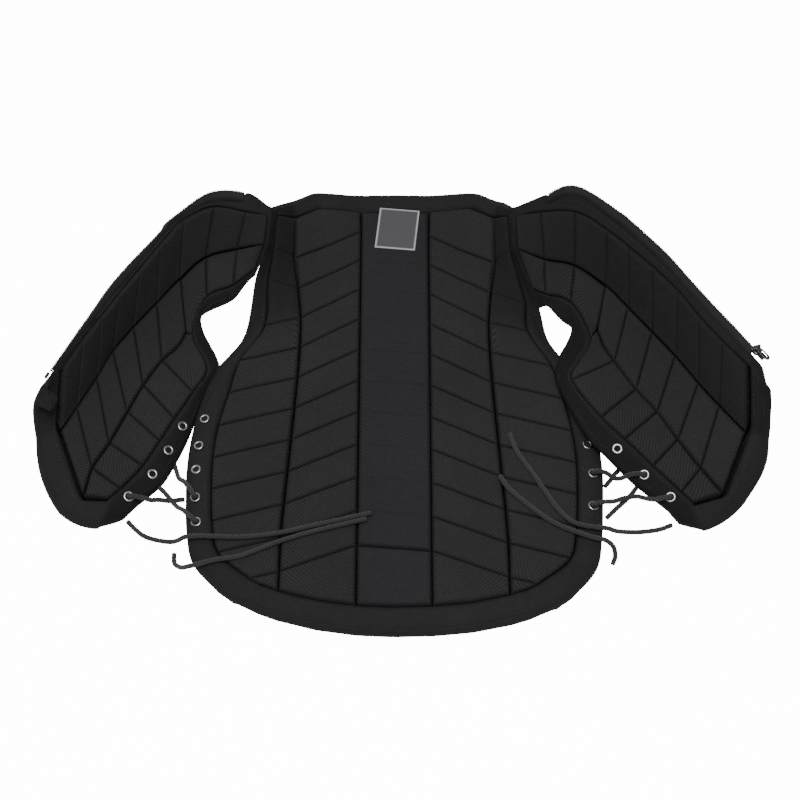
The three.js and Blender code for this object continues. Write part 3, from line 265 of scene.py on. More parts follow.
def half_width(y, arm_inset, side_inset, hem_inset, power):
    """The outline's half width at a height, less a border that narrows from the side to the arm."""
    if y < HEM_RISE - TAIL_DEPTH:
        down = np.clip((HEM_RISE - TAIL_DEPTH - y) / (HEM_RISE - hem_inset), 0, 1)
        return (HEM_HALF - side_inset) * (1 - down ** power) ** (1 / power)
    share = smoothstep(y, 0, NECK_HEIGHT * 0.3)
    return side_half(y) - (side_inset + (arm_inset - side_inset) * share)


def meet(start, half_at):
    """Where a line that falls at the chevron's slope from the groove reaches a half width."""
    x, y = start
    for _ in range(6):
        x = half_at(y)
        y = start[1] - (x - start[0]) * CHEVRON["slope"]
    return x, y


def front_place(out, down, rise):
    """A point from its shares of a front's reach and drop and its rise in foam thicknesses."""
    return np.array([out * FRONT["reach"], NECK_HEIGHT - down * FRONT["drop"], rise * FOAM])


LAST_CHEVRON = CHEVRON["rows"] + 1
POCKET_END = LAST_CHEVRON + 1
HEM_EDGE = POCKET_END + 1
STRAP_ROWS = 3
HEM_POWER = {"left": 2.03, "right": 2.32}
POCKET_ROW = 10
FRONT_EDGE = 11
# Steps in u and v over which folds are rounded and slopes are measured.
FOLD_STEP = 0.09
SLOPE_STEP = 0.08


def back_rows(name):
    """Rows from the neck to the hem, each with its centre, spine groove, inner middle, outer groove,
    last line of blocks and edge."""
    rows, power = [], HEM_POWER[name]
    for v in range(HEM_EDGE + 1):
        at_pocket = v == POCKET_END
        inset, half = (BORDER["hem"], HEM_HALF - BORDER["side"]) if at_pocket else (0, HEM_HALF)

        def on_hem(x):
            return np.array([x, hem_height(x * (HEM_HALF - inset) / half, inset, power), FOAM])

        if v < len(NECK_ROWS):
            row = [np.array([s * HALF_WIDTH, h * NECK_HEIGHT, r * FOAM]) for s, h, r in NECK_ROWS[v]]
        elif v <= LAST_CHEVRON:
            share = (v - 2) / (CHEVRON["rows"] - 1)
            y = CHEVRON["first"] - SIDES[name] * CHEVRON["stagger"] - (v - 2) * CHEVRON["pitch"]
            x = groove_half(y)
            down = CHEVRON["top"] + (CHEVRON["tail"] - CHEVRON["top"]) * share
            lift = FOAM * max(0, 0.2 - 0.13 * (v - 2) ** 2) + FOAM
            row = [np.array([0, y, FOAM]), np.array([SPINE_WIDTH / 2, y, FOAM]),
                   np.array([(SPINE_WIDTH / 2 + x) / 2, y - down / 2, FOAM]), np.array([x, y - down, lift])]
        else:
            groove = groove_half(-TAIL_DEPTH)
            row = [on_hem(x) for x in (0, SPINE_WIDTH / 2, (SPINE_WIDTH / 2 + groove) / 2, groove)]
        at_groove = row[3]
        if v <= STRAP_ROWS:
            edge = front_place(*SHOULDER_SEAM[name][v])
            row += [at_groove + (edge - at_groove) * 0.72, edge]
        elif v <= LAST_CHEVRON:
            for insets in ((BORDER["arm"], BORDER["side"], BORDER["hem"]), (0, 0, 0)):
                row.append(np.array([*meet(at_groove[:2], lambda y: half_width(y, *insets, power)), FOAM]))
        else:
            before = rows[-1]
            edge_x = before[5][0] * (0.965 if at_pocket else 0.955)
            row += [on_hem(at_groove[0] + (before[4][0] - at_groove[0]) * (0.6 if at_pocket else 1.15)),
                    np.array([edge_x, hem_height(edge_x, 0, power), FOAM])]
        rows.append(row)
    return np.array(rows, float)


def front_rows(name):
    """The shoulder seam, then each row of the front with its heights: the lie of the cloth, the zip
    edge's lift times its lean, the shoulder's ridge and the lap over the back."""
    a, b, c, d = (front_place(*place) for place in SHOULDER_SEAM[name])
    seam = np.array([a, b, c, c + (d - c) / 3, c + (d - c) * 2 / 3, d])
    table = np.array(FRONT_ROWS[name])
    lift, ridge, over = table[:, 12:].T[..., None]
    lie = np.array([FRONT["lie"]] * 5 + [FRONT["edge_lie"]])
    height = (lie + lift * LEAN * FRONT["zip"] + ridge * RIDGE_SHARE * FRONT["ridge"]
              + over * OVER_SHARE * FRONT["over"])
    rows = np.stack([table[:, :12:2] * FRONT["reach"], NECK_HEIGHT - table[:, 1:12:2] * FRONT["drop"], height],
                    axis=-1)
    return np.concatenate([seam[None], rows])


def between_rows(rows, station, v, straight, last_smooth):
    """A Catmull-Rom curve through the rows, and straight lines above the row named straight and
    below the row named last_smooth."""
    i = np.clip(np.floor(v).astype(int), 0, len(rows) - 2)
    t = (v - i)[..., None]
    a, b = rows[i, station], rows[i + 1, station]
    before = np.where((i > straight)[..., None], rows[np.maximum(i - 1, 0), station], 2 * a - b)
    after = np.where((i + 1 < last_smooth)[..., None], rows[np.minimum(i + 2, len(rows) - 1), station],
                     2 * b - a)
    bend = (b - before) / 2 * t * (1 - t) ** 2 - (after - a) / 2 * t * t * (1 - t)
    curve = a + (b - a) * t * t * (3 - 2 * t) + bend
    flat = a + (b - a) * t
    return np.where(((i < straight) | (i >= last_smooth))[..., None], flat, curve)


def across_stations(rows, u, v, straight, last_smooth):
    """A straight mix of the two stations that u lies between."""
    i = np.clip(np.floor(u).astype(int), 0, rows.shape[1] - 2)
    a = between_rows(rows, i, v, straight, last_smooth)
    b = between_rows(rows, i + 1, v, straight, last_smooth)
    return a + (b - a) * (u - i)[..., None]


class Panel:
    """One panel's lining as a surface of two parameters: u across it and v from the shoulder or
    neck to the hem. Its cloth and foam lie under the surface, along its normal."""

    def __init__(self, rows, u_range, v_range, lowest, border_lines):
        self.rows, self.u_range, self.v_range, self.lowest = rows, u_range, v_range, lowest
        self.border_lines = border_lines

    def smooth(self, u, v):
        """Half the point itself and a quarter of each neighbour across, so that folds are round."""
        e = np.minimum(FOLD_STEP, np.minimum(u - self.u_range[0], self.u_range[1] - u))
        return self.point(u, v) / 2 + (self.point(u - e, v) + self.point(u + e, v)) / 4

    def normal(self, u, v, e=SLOPE_STEP):
        """The cross product of a step across and a step toward the neck, turned to point up."""
        u = self.fold_at(u)
        low_u, high_u = np.maximum(u - e, self.u_range[0]), np.minimum(u + e, self.u_range[1])
        low_v, high_v = np.maximum(v - e, self.v_range[0]), np.minimum(v + e, self.v_range[1])
        across = self.point(high_u, v) - self.point(low_u, v)
        along = self.point(u, low_v) - self.point(u, high_v)
        n = unit(np.cross(across, along))
        return np.where(n[..., 2:] < 0, -n, n)

    def fold_at(self, u):
        return u

    def at(self, u, v, height):
        """The surface's point moved along its normal by a height, and never below the ground."""
        u, v, height = np.broadcast_arrays(*(np.asarray(x, float) for x in (u, v, height)))
        p = self.smooth(u, v) + self.normal(u, v) * height[..., None]
        p[..., 2] = np.maximum(p[..., 2], self.lowest)
        return p


class BackPanel(Panel):
    """The back, whose u runs from minus five to five over both sides."""

    def __init__(self):
        super().__init__({name: back_rows(name) for name in SIDES}, (-5, 5), (0, HEM_EDGE), 0.0, (-4, 4))

    def point(self, u, v):
        """The left or the right rows by the sign of u, mirrored for the left, and a straight mix of
        the two over the spine, so that a line of the spine runs across it unbroken."""
        u, v = np.broadcast_arrays(np.asarray(u, float), np.asarray(v, float))
        left = across_stations(self.rows["left"], np.abs(u), v, STRAP_ROWS, LAST_CHEVRON)
        right = across_stations(self.rows["right"], np.abs(u), v, STRAP_ROWS, LAST_CHEVRON)
        p = left + (right - left) * np.clip((u + 1) / 2, 0, 1)[..., None]
        p[..., 0] *= np.sign(u)
        return p

    def depth(self, u, v):
        """The foam's thickness, thinned toward the shoulder seam with the distance from it."""
        across = np.abs(u)
        share = np.clip(STRAP_ROWS + 1 - v, 0, 1)
        sign = np.where(u < 0, -1.0, 1.0)
        away = length_of(self.point(5 * sign, v) - self.point(4 * sign, v))
        beside = np.minimum(FOAM, SEAM_THICKNESS + SEAM_TAPER * away)
        outer = beside + (SEAM_THICKNESS - beside) * (across - 4)
        inner = FOAM + (beside - FOAM) * (across - 3)
        thin = np.where(across > 4, outer, inner)
        return np.where(across > 3, FOAM + (thin - FOAM) * share, FOAM)

    def steep(self, u, v):
        """One on the outer faces of the shoulders, where the lining is drawn taut over the ridge."""
        return smoothstep(np.abs(u), *RIDGE["across"]) * (1 - smoothstep(v, *RIDGE["along"]))

    def shadow(self, u, v):
        """How much darker the cloth is, as a share: the steep faces turn from the light."""
        return RIDGE["dark"] * self.steep(u, v)


class FrontPanel(Panel):
    """A front, whose u runs from the zip edge to the arm edge."""

    def __init__(self, name):
        super().__init__(front_rows(name), (0, 5), (0, FRONT_EDGE), 0.6, (1, 2, 4))
        self.name = name
        self.laps = np.array([0] + [row[-1] for row in FRONT_ROWS[name]], float)

    def point(self, u, v):
        """The front's rows with the hem rounded out between the middle stations."""
        u, v = np.broadcast_arrays(np.asarray(u, float), np.asarray(v, float))
        p = across_stations(self.rows, u, v, 0, FRONT_EDGE)
        full = np.full_like(v, FRONT_EDGE)
        out = (across_stations(self.rows, u, full, 0, FRONT_EDGE)
               - across_stations(self.rows, u, full - 1, 0, FRONT_EDGE))
        out[..., 2] = 0
        t = np.mod(u, 1)
        bulge = HEM_ROUND * 4 * t * (1 - t) * (v - POCKET_ROW)
        bulge = np.where((v > POCKET_ROW) & (u > 2) & (u < 4), bulge, 0)
        p = p + unit(out) * bulge[..., None]
        p[..., 0] *= SIDES[self.name]
        return p

    def fold_at(self, u):
        """The narrow zip edge keeps the slope of the fold beside it."""
        return np.maximum(u, 1)

    def depth(self, u, v):
        """The foam's thickness, pressed where it laps the back, thin at the zip and at the seam."""
        away = v * length_of(self.point(u, 0 * v) - self.point(u, 0 * v + 1))
        i = np.clip(np.floor(v).astype(int), 0, len(self.laps) - 2)
        lap = self.laps[i] + (self.laps[i + 1] - self.laps[i]) * (v - i)
        whole = (FOAM - FRONT["squash"] * np.maximum(u - 4, 0) * lap
                 - (FOAM - ZIP["placket"]) * np.maximum(1 - u, 0))
        whole = whole - ZIP_SLIM * np.clip(1.8 - u, 0, 1) * smoothstep(v, 2, 9) * (whole / FOAM)
        return np.minimum(whole, SEAM_THICKNESS + SEAM_TAPER * away)

    def steep(self, u, v):
        """Half on the column that curls up to the zip, and less toward its other side."""
        return CURL["taut"] * (1 - smoothstep(u, *CURL["taut_until"]))

    def shadow(self, u, v):
        """How much darker the cloth is, as a share: the curled column, the arm's edge and the cloth
        beside the shoulder seam."""
        curled = CURL["dark"][self.name] * (1 - smoothstep(u, *CURL["dark_until"]))
        at_arm = ARM_EDGE["dark"] * smoothstep(u, *ARM_EDGE["from"])
        return np.maximum(curled + at_arm, SEAM_EDGE["dark"] * (1 - smoothstep(v, *SEAM_EDGE["until"])))


BACK = BackPanel()
FRONTS = {name: FrontPanel(name) for name in SIDES}


def span(panel, a, b):
    """The distance in millimetres between two places of a panel, each given as u and v."""
    return float(length_of(panel.point(*a) - panel.point(*b)))


def wander(points, size, seed):
    """Soft random waves of about minus one to one: the sum of seven sines over four, each along its
    own direction and with its own phase, about one size long."""
    rng = np.random.default_rng(seed)
    total = 0
    for _ in range(7):
        turn, phase, stretch = rng.uniform(0, math.pi), rng.uniform(0, 6.28), rng.uniform(0.7, 1.6)
        along = points[..., 0] * math.cos(turn) + points[..., 1] * math.sin(turn) + points[..., 2] * 0.6
        total = total + np.sin(along * 6.28 / (size * stretch) + phase)
    return total / 4


# Meshes from whole arrays.
def running_length(points, axis=0):
    """How far each point of a line or a grid lies along an axis: the running sum of the steps."""
    return np.insert(np.cumsum(length_of(np.diff(points, axis=axis)), axis=axis), 0, 0, axis=axis)


def read_along(values, steps, at):
    """A line's points or directions at given distances along it."""
    return np.stack([np.interp(at, steps, values[:, k]) for k in range(3)], axis=1)


def circle(count):
    """Angles of a whole turn, evenly spaced."""
    return np.arange(count) * 2 * math.pi / count


def grid_quads(rows, columns, start=0):
    """The four corners of every cell of a grid whose points are numbered row by row."""
    i, j = np.meshgrid(np.arange(rows - 1), np.arange(columns - 1), indexing="ij")
    a = (start + i * columns + j).ravel()
    return np.stack([a, a + 1, a + columns + 1, a + columns], axis=1)


def loop_quads(around, across):
    """The quads of a grid that closes on itself both ways."""
    i, j = np.meshgrid(np.arange(around), np.arange(across), indexing="ij")
    here, after, j_after = i * across, (i + 1) % around * across, (j + 1) % across
    return np.stack([here + j, after + j, after + j_after, here + j_after], axis=-1).reshape(-1, 4)


def pole_caps(around, columns, rings):
    """Quads that close the first and the last ring, each from two sides of a ring and a pole."""
    pairs = np.arange(0, around, 2)
    after = (pairs + 2) % columns
    last = (rings - 1) * columns
    pole = np.full(len(pairs), rings * columns)
    return np.concatenate([np.stack([pole, after, pairs + 1, pairs], axis=1),
                           np.stack([pole + 1, last + pairs, last + pairs + 1, last + after], axis=1)])


def turned_out(points, quads):
    """A closed body's quads, turned over if the volume inside them comes out negative."""
    a, b, c, d = (points[quads[:, k]] for k in range(4))
    volume = np.einsum("ij,ij->i", a, np.cross(b, c) + np.cross(c, d)).sum()
    return quads if volume > 0 else quads[:, ::-1]


def slab(top, bottom):
    """A closed body between two grids: both grids, the lower one turned over, and a strip of quads
    round their edges."""
    rows, columns = top.shape[:2]
    count = rows * columns
    points = np.concatenate([top.reshape(-1, 3), bottom.reshape(-1, 3)])
    index = np.arange(count).reshape(rows, columns)
    rim = np.concatenate([index[0, :-1], index[:-1, -1], index[-1, :0:-1], index[:0:-1, 0]])
    after = np.roll(rim, -1)
    walls = np.stack([after, rim, rim + count, after + count], axis=1)
    quads = np.concatenate([grid_quads(rows, columns), grid_quads(rows, columns, count)[:, ::-1], walls])
    return points, turned_out(points, quads)


def arc_map(top):
    """Distances in centimetres over a grid, across from its middle and along, for both of a slab's
    sides."""
    across = running_length(top, 1)
    across -= across[:, across.shape[1] // 2][:, None]
    return np.tile(np.stack([across, running_length(top)], axis=-1).reshape(-1, 2) / 10, (2, 1))


def joined(bodies):
    """Several bodies as one: their points one after the other and their faces renumbered."""
    starts = np.cumsum([0] + [len(points) for points, faces in bodies])
    return (np.concatenate([points for points, faces in bodies]),
            np.concatenate([faces + start for (points, faces), start in zip(bodies, starts)]))


def repeated(template, centres, along, side, up):
    """A small body placed at every centre: its x, y and z run along, to the side and up there."""
    points, faces = template
    placed = (centres[:, None] + points[None, :, :1] * along[:, None] + points[None, :, 1:2] * side[:, None]
              + points[None, :, 2:] * up[:, None])
    shift = np.arange(len(centres))[:, None, None] * len(points)
    return placed.reshape(-1, 3), (faces[None] + shift).reshape(-1, faces.shape[1])


def boxed(x, power):
    """A cosine or a sine with its size raised to a power and its sign kept."""
    return np.sign(x) * np.abs(x) ** power


def bead(size, around=8, rings=5, power=1.0):
    """A closed body from cosines and sines of two angles, each raised to a power: one is round and
    small powers are nearly a box."""
    a = circle(around)
    b = np.linspace(-math.pi / 2, math.pi / 2, rings + 2)[1:-1]
    cos_a, sin_a, cos_b, sin_b = (boxed(x, power) for x in (np.cos(a), np.sin(a), np.cos(b), np.sin(b)))
    ring = np.stack([np.outer(cos_b, cos_a), np.outer(cos_b, sin_a), np.outer(sin_b, np.ones(around))], axis=-1)
    points = np.concatenate([ring.reshape(-1, 3), [[0, 0, -1.0], [0, 0, 1.0]]]) * np.array(size) / 2
    k, i = np.meshgrid(np.arange(rings - 1) * around, np.arange(around), indexing="ij")
    after = (i + 1) % around
    sides = np.stack([k + i, k + after, k + around + after, k + around + i], axis=-1).reshape(-1, 4)
    return points, np.concatenate([sides, pole_caps(around, around, rings)])


def turned_ring(profile, around):
    """A closed profile of radius and height turned about the Z axis."""
    a = circle(around)
    radius, height = np.array(profile).T
    points = np.stack([np.outer(np.cos(a), radius), np.outer(np.sin(a), radius),
                       np.outer(np.ones(around), height)], axis=-1)
    return points.reshape(-1, 3), loop_quads(around, len(profile))


def make_piece(name, points, quads, material, slot_name, body="vest", replaces=None, uv=None, shade=None):
    """One mesh object from points in the drawn frame, moved to the model's place, with its UVs and
    its groove mask given per point: painted shade on cloth, the pale outline on the patch. It replaces
    the solid of its own name unless told otherwise."""
    mesh = bpy.data.meshes.new(name)
    mesh.from_pydata((points * MM + PLACE).tolist(), [], quads.tolist())
    mesh.shade_smooth()
    if uv is not None:
        corner = np.empty(len(mesh.loops), int)
        mesh.loops.foreach_get("vertex_index", corner)
        mesh.uv_layers.new(name="UVMap").data.foreach_set("uv", uv[corner].astype(np.float32).ravel())
    if shade is not None:
        # The groove attribute holds painted shade, except on the patch, where it marks the pale outline.
        mesh.attributes.new("groove", "FLOAT", "POINT").data.foreach_set("value", shade.astype(np.float32))
    mesh.materials.append(material)
    piece = bpy.data.objects.new(name, mesh)
    bpy.context.scene.collection.objects.link(piece)
    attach(piece, body)
    nodes = [name] if replaces is None else replaces
    if nodes:
        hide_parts(*nodes)
    return piece


# Node groups.
def put(tree, socket, value):
    """Puts a number, a colour or another node's output on a socket."""
    if isinstance(value, bpy.types.NodeSocket):
        tree.links.new(value, socket)
    else:
        socket.default_value = value


def new_group(name, inputs, outputs):
    """An empty shader group, with the sockets that its own nodes read and fill."""
    group = bpy.data.node_groups.new(name, "ShaderNodeTree")
    for label, kind, value in inputs:
        socket = group.interface.new_socket(label, in_out="INPUT", socket_type="NodeSocket" + kind)
        if value is not None:
            socket.default_value = value
    for label, kind in outputs:
        group.interface.new_socket(label, in_out="OUTPUT", socket_type="NodeSocket" + kind)
    return group, group.nodes.new("NodeGroupInput").outputs, group.nodes.new("NodeGroupOutput").inputs


def math_node(tree, operation, a, b=None, clamp=False):
    """A Math node whose inputs are sockets or numbers. Returns its output."""
    node = tree.nodes.new("ShaderNodeMath")
    node.operation = operation
    node.use_clamp = clamp
    put(tree, node.inputs[0], a)
    if b is not None:
        put(tree, node.inputs[1], b)
    return node.outputs[0]


def noise_node(tree, vector, scale, detail):
    """A noise texture's value at a scale."""
    node = tree.nodes.new("ShaderNodeTexNoise")
    for label, value in (("Vector", vector), ("Scale", scale), ("Detail", detail)):
        put(tree, node.inputs[label], value)
    return node.outputs["Fac"]


def crossed_waves(name, outputs, per_centimetre, operation, stretches):
    """A new group, with the sockets that its own nodes read and fill, and the product of a wave
    across and a wave along its vector."""
    group, start, end = new_group(
        name, [("Vector", "Vector", None), ("Per Centimetre", "Float", per_centimetre)], outputs)
    split = group.nodes.new("ShaderNodeSeparateXYZ")
    group.links.new(start["Vector"], split.inputs[0])
    waves = []
    for axis, stretch in zip("XY", stretches):
        scaled = math_node(group, "MULTIPLY", split.outputs[axis], start["Per Centimetre"])
        waves.append(math_node(group, operation, math_node(group, "MULTIPLY", scaled, stretch)))
    return group, start, end, math_node(group, "MULTIPLY", *waves)


def knit_group(name):
    """Spacer mesh: round holes in staggered rows, where the product of the two cosines is high.
    Height is the yarn between the holes and Hole is one inside them."""
    group, start, end, both = crossed_waves(name, [("Height", "Float"), ("Hole", "Float")], 3.6, "COSINE",
                                            (6.283, 4.2))
    hole = math_node(group, "MULTIPLY", math_node(group, "SUBTRACT", both, 0.25), 2.2, clamp=True)
    yarn = noise_node(group, start["Vector"], 40.0, 2.0)
    put(group, end["Height"], math_node(group, "SUBTRACT", math_node(group, "MULTIPLY", yarn, 0.4), hole))
    put(group, end["Hole"], hole)


def weave_group(name):
    """Plain weave: the product of a sine across and a sine along, over a fine noise."""
    group, start, end, threads = crossed_waves(name, [("Height", "Float")], 10.0, "SINE", (6.283, 6.283))
    fuzz = noise_node(group, start["Vector"], 9.0, 4.0)
    put(group, end["Height"], math_node(group, "ADD", math_node(group, "MULTIPLY", threads, 0.5), fuzz))


def tone_group(name):
    """Worn and dusty cloth: broad and fine noise lighten a colour for wear and dust. The Dark input mixes it
    toward the Dark Colour: painted shade from a piece's groove mask and between a cord's strands, and on the
    patch its pale outline.
    """
    group, start, end = new_group(
        name,
        [("Vector", "Vector", None), ("Colour", "Color", (0.03, 0.03, 0.03, 1)),
         ("Worn Colour", "Color", (0.06, 0.06, 0.06, 1)), ("Dark Colour", "Color", (0, 0, 0, 1)),
         ("Wear", "Float", 0.4), ("Dark", "Float", 0.0)],
        [("Colour", "Color"), ("Wear Mask", "Float")],
    )
    broad = math_node(group, "MULTIPLY", noise_node(group, start["Vector"], 9.0, 3.0), 0.7)
    fine = math_node(group, "MULTIPLY", noise_node(group, start["Vector"], 160.0, 2.0), 0.5)
    above = math_node(group, "SUBTRACT", math_node(group, "ADD", broad, fine), 0.35, clamp=True)
    mask = math_node(group, "MULTIPLY", above, start["Wear"], clamp=True)
    tone = start["Colour"]
    for factor, other in ((mask, "Worn Colour"), (start["Dark"], "Dark Colour")):
        mix = group.nodes.new("ShaderNodeMix")
        mix.data_type = "RGBA"
        for label, value in (("Factor", factor), ("A", tone), ("B", start[other])):
            put(group, mix.inputs[label], value)
        tone = mix.outputs["Result"]
    put(group, end["Colour"], tone)
    put(group, end["Wear Mask"], mask)


GROUP_MAKERS = {"knit_mesh": knit_group, "plain_weave": weave_group, "cloth_tone": tone_group}


def placed_group(tree, name, **values):
    """A group's node in a tree, with values on its inputs. The group is made at its first use."""
    if name not in bpy.data.node_groups:
        GROUP_MAKERS[name](name)
    node = tree.nodes.new("ShaderNodeGroup")
    node.node_tree = bpy.data.node_groups[name]
    for label, value in values.items():
        put(tree, node.inputs[label.replace("_", " ")], value)
    return node.outputs


def colour(rgb, factor=1.0):
    """A colour with its alpha, scaled by a factor."""
    return (rgb[0] * factor, rgb[1] * factor, rgb[2] * factor, 1.0)


class Finish:
    """A new material with its tree, its shader's inputs and its coordinates."""

    def __init__(self, name):
        self.material = bpy.data.materials.new(name)
        self.material.use_nodes = True
        self.tree = self.material.node_tree
        self.shader = self.tree.nodes["Principled BSDF"].inputs
        where = self.tree.nodes.new("ShaderNodeTexCoord")
        self.uv, self.place = where.outputs["UV"], where.outputs["Object"]

    def groove(self):
        """The mask that a piece gives each of its points: painted shade on cloth, the pale outline on the
        patch.
        """
        mask = self.tree.nodes.new("ShaderNodeAttribute")
        mask.attribute_name = "groove"
        return mask.outputs["Fac"]

    def set(self, **values):
        """Puts values on the shader's inputs."""
        for label, value in values.items():
            put(self.tree, self.shader[label.replace("_", " ")], value)

    def tone(self, rgb, worn, dark_colour, wear, dark):
        """Puts a worn colour on the shader and returns the mask of its wear."""
        made = placed_group(self.tree, "cloth_tone", Vector=self.place, Colour=colour(rgb),
                            Worn_Colour=colour(rgb, worn), Dark_Colour=dark_colour, Wear=wear, Dark=dark)
        self.set(Base_Color=made["Colour"])
        return made["Wear Mask"]

    def bump(self, height, distance):
        """Puts a relief on the shader's normal, its distance in millimetres."""
        relief = self.tree.nodes.new("ShaderNodeBump")
        put(self.tree, relief.inputs["Distance"], distance * MM)
        put(self.tree, relief.inputs["Height"], height)
        self.set(Normal=relief.outputs["Normal"])


def cloth_material(name, rgb, pattern_name, per_centimetre, bump, roughness, wear, sheen=0.025):
    """Cloth from the piece's own UVs: a knit or a weave gives the bump, the tone group the colour. The
    piece's groove mask darkens it with painted shade, and the knit's holes darken it too.
    """
    finish = Finish(name)
    pattern = placed_group(finish.tree, pattern_name, Vector=finish.uv, Per_Centimetre=per_centimetre)
    # Painted shade: the piece's groove mask darkens the cloth in grooves and on faces turned from the light.
    dark = math_node(finish.tree, "MULTIPLY", finish.groove(), 0.75)
    if pattern_name == "knit_mesh":
        holes = math_node(finish.tree, "MULTIPLY", pattern["Hole"], 0.85)
        dark = math_node(finish.tree, "ADD", dark, holes, clamp=True)
    worn = math_node(finish.tree, "MULTIPLY", finish.tone(rgb, 2.1, colour(rgb, 0.3), wear, dark), 0.25)
    finish.bump(pattern["Height"], bump)
    finish.set(Roughness=math_node(finish.tree, "SUBTRACT", roughness, worn), Sheen_Weight=sheen,
               Sheen_Roughness=0.4, Specular_IOR_Level=0.16)
    return finish.material


def metal_material(name, rgb, roughness, metallic, scratch):
    """Metal or plastic with fine scratches and dull patches in its roughness, from noise on object
    coordinates."""
    finish = Finish(name)
    finish.tone(rgb, 0.6, colour(rgb, 0.3), 0.7, 0.0)
    grain = noise_node(finish.tree, finish.place, 900.0, 3.0)
    finish.bump(grain, 0.05)
    scratches = math_node(finish.tree, "MULTIPLY", grain, scratch)
    finish.set(Roughness=math_node(finish.tree, "ADD", scratches, roughness - scratch / 2), Metallic=metallic)
    return finish.material


def cord_material(name, rgb):
    """Braided cord: two sets of slanted strands, each a sine of length plus or minus turns round, with painted
    shade between the strands.
    """
    finish = Finish(name)
    tree = finish.tree
    split = tree.nodes.new("ShaderNodeSeparateXYZ")
    tree.links.new(finish.uv, split.inputs[0])
    along = math_node(tree, "MULTIPLY", split.outputs["Y"], 18.0)
    around = math_node(tree, "MULTIPLY", split.outputs["X"], 6.283 * 4)
    strands = [math_node(tree, "SINE", math_node(tree, sign, along, around)) for sign in ("ADD", "SUBTRACT")]
    braid = math_node(tree, "MAXIMUM", *strands)
    # Painted shade: darker where the braid is low, between the strands.
    dark = math_node(tree, "MULTIPLY", math_node(tree, "SUBTRACT", 0.4, braid), 0.6, clamp=True)
    finish.tone(rgb, 2.2, colour(rgb, 0.35), 0.6, dark)
    finish.bump(braid, 0.4)
    finish.set(Roughness=0.7, Sheen_Weight=0.15)
    return finish.material


def patch_material(name, rgb, edge_rgb):
    """A satin patch, with a pale outline where the piece's mask is one."""
    finish = Finish(name)
    weave = placed_group(finish.tree, "plain_weave", Vector=finish.uv, Per_Centimetre=12.0)
    finish.tone(rgb, 1.3, colour(edge_rgb), 0.4, finish.groove())
    finish.bump(weave["Height"], 0.15)
    finish.set(Roughness=0.6, Sheen_Weight=0.2)
    return finish.material


# Pads.
def block_shares(length, fine):
    """Places along a block as shares of its length: close together near both ends, where the cloth
    turns down, and even between them."""
    near = np.array(END_STEPS) / max(length, 14)
    inner = np.linspace(near[-1], 1 - near[-1], max(3, int((length - 12) / fine)))[1:-1]
    return np.concatenate([near, inner, 1 - near[::-1]])


def fillet(distance, width):
    """A quarter circle: nought at the edge, rising to one at a width from it."""
    t = 1 - np.clip(distance / width, 0, 1)
    return np.sqrt(np.maximum(1 - t * t, 0))


def pad_body(panel, sides, grooves, shape, row_depth, seed):
    """A column of blocks between two lines across and a list of grooves along. A point's height is
    the least of the quarter circles from the column's sides and from the nearest groove, times the
    groove's depth, with a low crown on each block and soft random waves."""
    left, right = sides
    middle = (left + right) / 2
    width = span(panel, (left, grooves[1]), (right, grooves[1]))
    v = np.concatenate([
        a + (b - a) * block_shares(span(panel, (middle, a), (middle, b)), shape.cell)[:-1]
        for a, b in zip(grooves[:-1], grooves[1:])
    ] + [[grooves[-1]]])
    inset = PAD["inset"] / width
    uu, vv = np.meshgrid(left + (right - left) * (inset + (1 - 2 * inset) * block_shares(width, shape.cell)), v)
    flat = panel.point(uu, vv)
    depth = panel.depth(uu, vv)
    to_left = running_length(flat, 1)
    to_right = to_left[:, -1:] - to_left
    from_side = np.minimum(to_left, to_right)
    along = running_length(flat)
    to_groove = np.abs(along[None] - np.array([along[np.argmin(np.abs(v - g))] for g in grooves])[:, None])
    from_row = to_groove.min(axis=0)
    column = fillet(from_side, shape.groove_width)
    row = fillet(from_row, shape.row_width)
    end = fillet(np.minimum(to_groove[0], to_groove[-1]), shape.groove_width)
    beside = np.where(to_left < to_right, *(shape.border_share if line in panel.border_lines else 1.0
                                            for line in sides))
    side_drop = np.minimum(shape.groove_depth, depth * 0.45) * beside
    row_drop = np.minimum(row_depth, depth * 0.4) * (1 - PAD["taut"] * panel.steep(uu, vv))
    crown = (shape.crown * np.minimum(from_side / PAD["crown_across"], 1) ** 0.6
             * np.minimum(from_row / PAD["crown_along"], 1) ** 0.6)
    height = -np.maximum.reduce([side_drop * (1 - column), row_drop * (1 - row), side_drop * (1 - end)])
    height = height + np.minimum(crown, depth * 0.08)
    height = height + shape.waves * wander(flat, PAD["wave"], seed) * column * np.minimum(depth / FOAM, 1)
    top = panel.at(uu, vv, height)
    floor = FLOOR + SEAT + np.where(vv < STRAP_ROWS + 0.2, 1.2, 0)
    points, quads = slab(top, panel.at(uu, vv, np.minimum(floor - depth, height - 0.4)))
    # The shade mask is painted shade: darker where the lining dips into a groove and on faces turned from the
    # light, and whole under the pad.
    shade = np.maximum(np.clip(-height / 7 - 0.15, 0, 0.8), panel.shadow(uu, vv))
    return points, quads, arc_map(top), np.concatenate([shade.ravel(), np.ones(shade.size)])


def make_pad(name, material, slot_name, patches, shape, row_depth, seed, panel):
    """A pad of one or more columns joined into one mesh."""
    bodies = [pad_body(panel, sides, grooves, shape, row_depth, seed + i)
              for i, (sides, grooves) in enumerate(patches)]
    points, quads = joined([body[:2] for body in bodies])
    uv, shade = (np.concatenate([body[k] for body in bodies]) for k in (2, 3))
    make_piece(name, points, quads, material, slot_name, uv=uv, shade=shade)


# Shells.
def bump_at(distance, place):
    """One on a sewn line at a place, fading with the distance from it."""
    return np.exp(-((distance - place) / SEWN["width"]) ** 2)


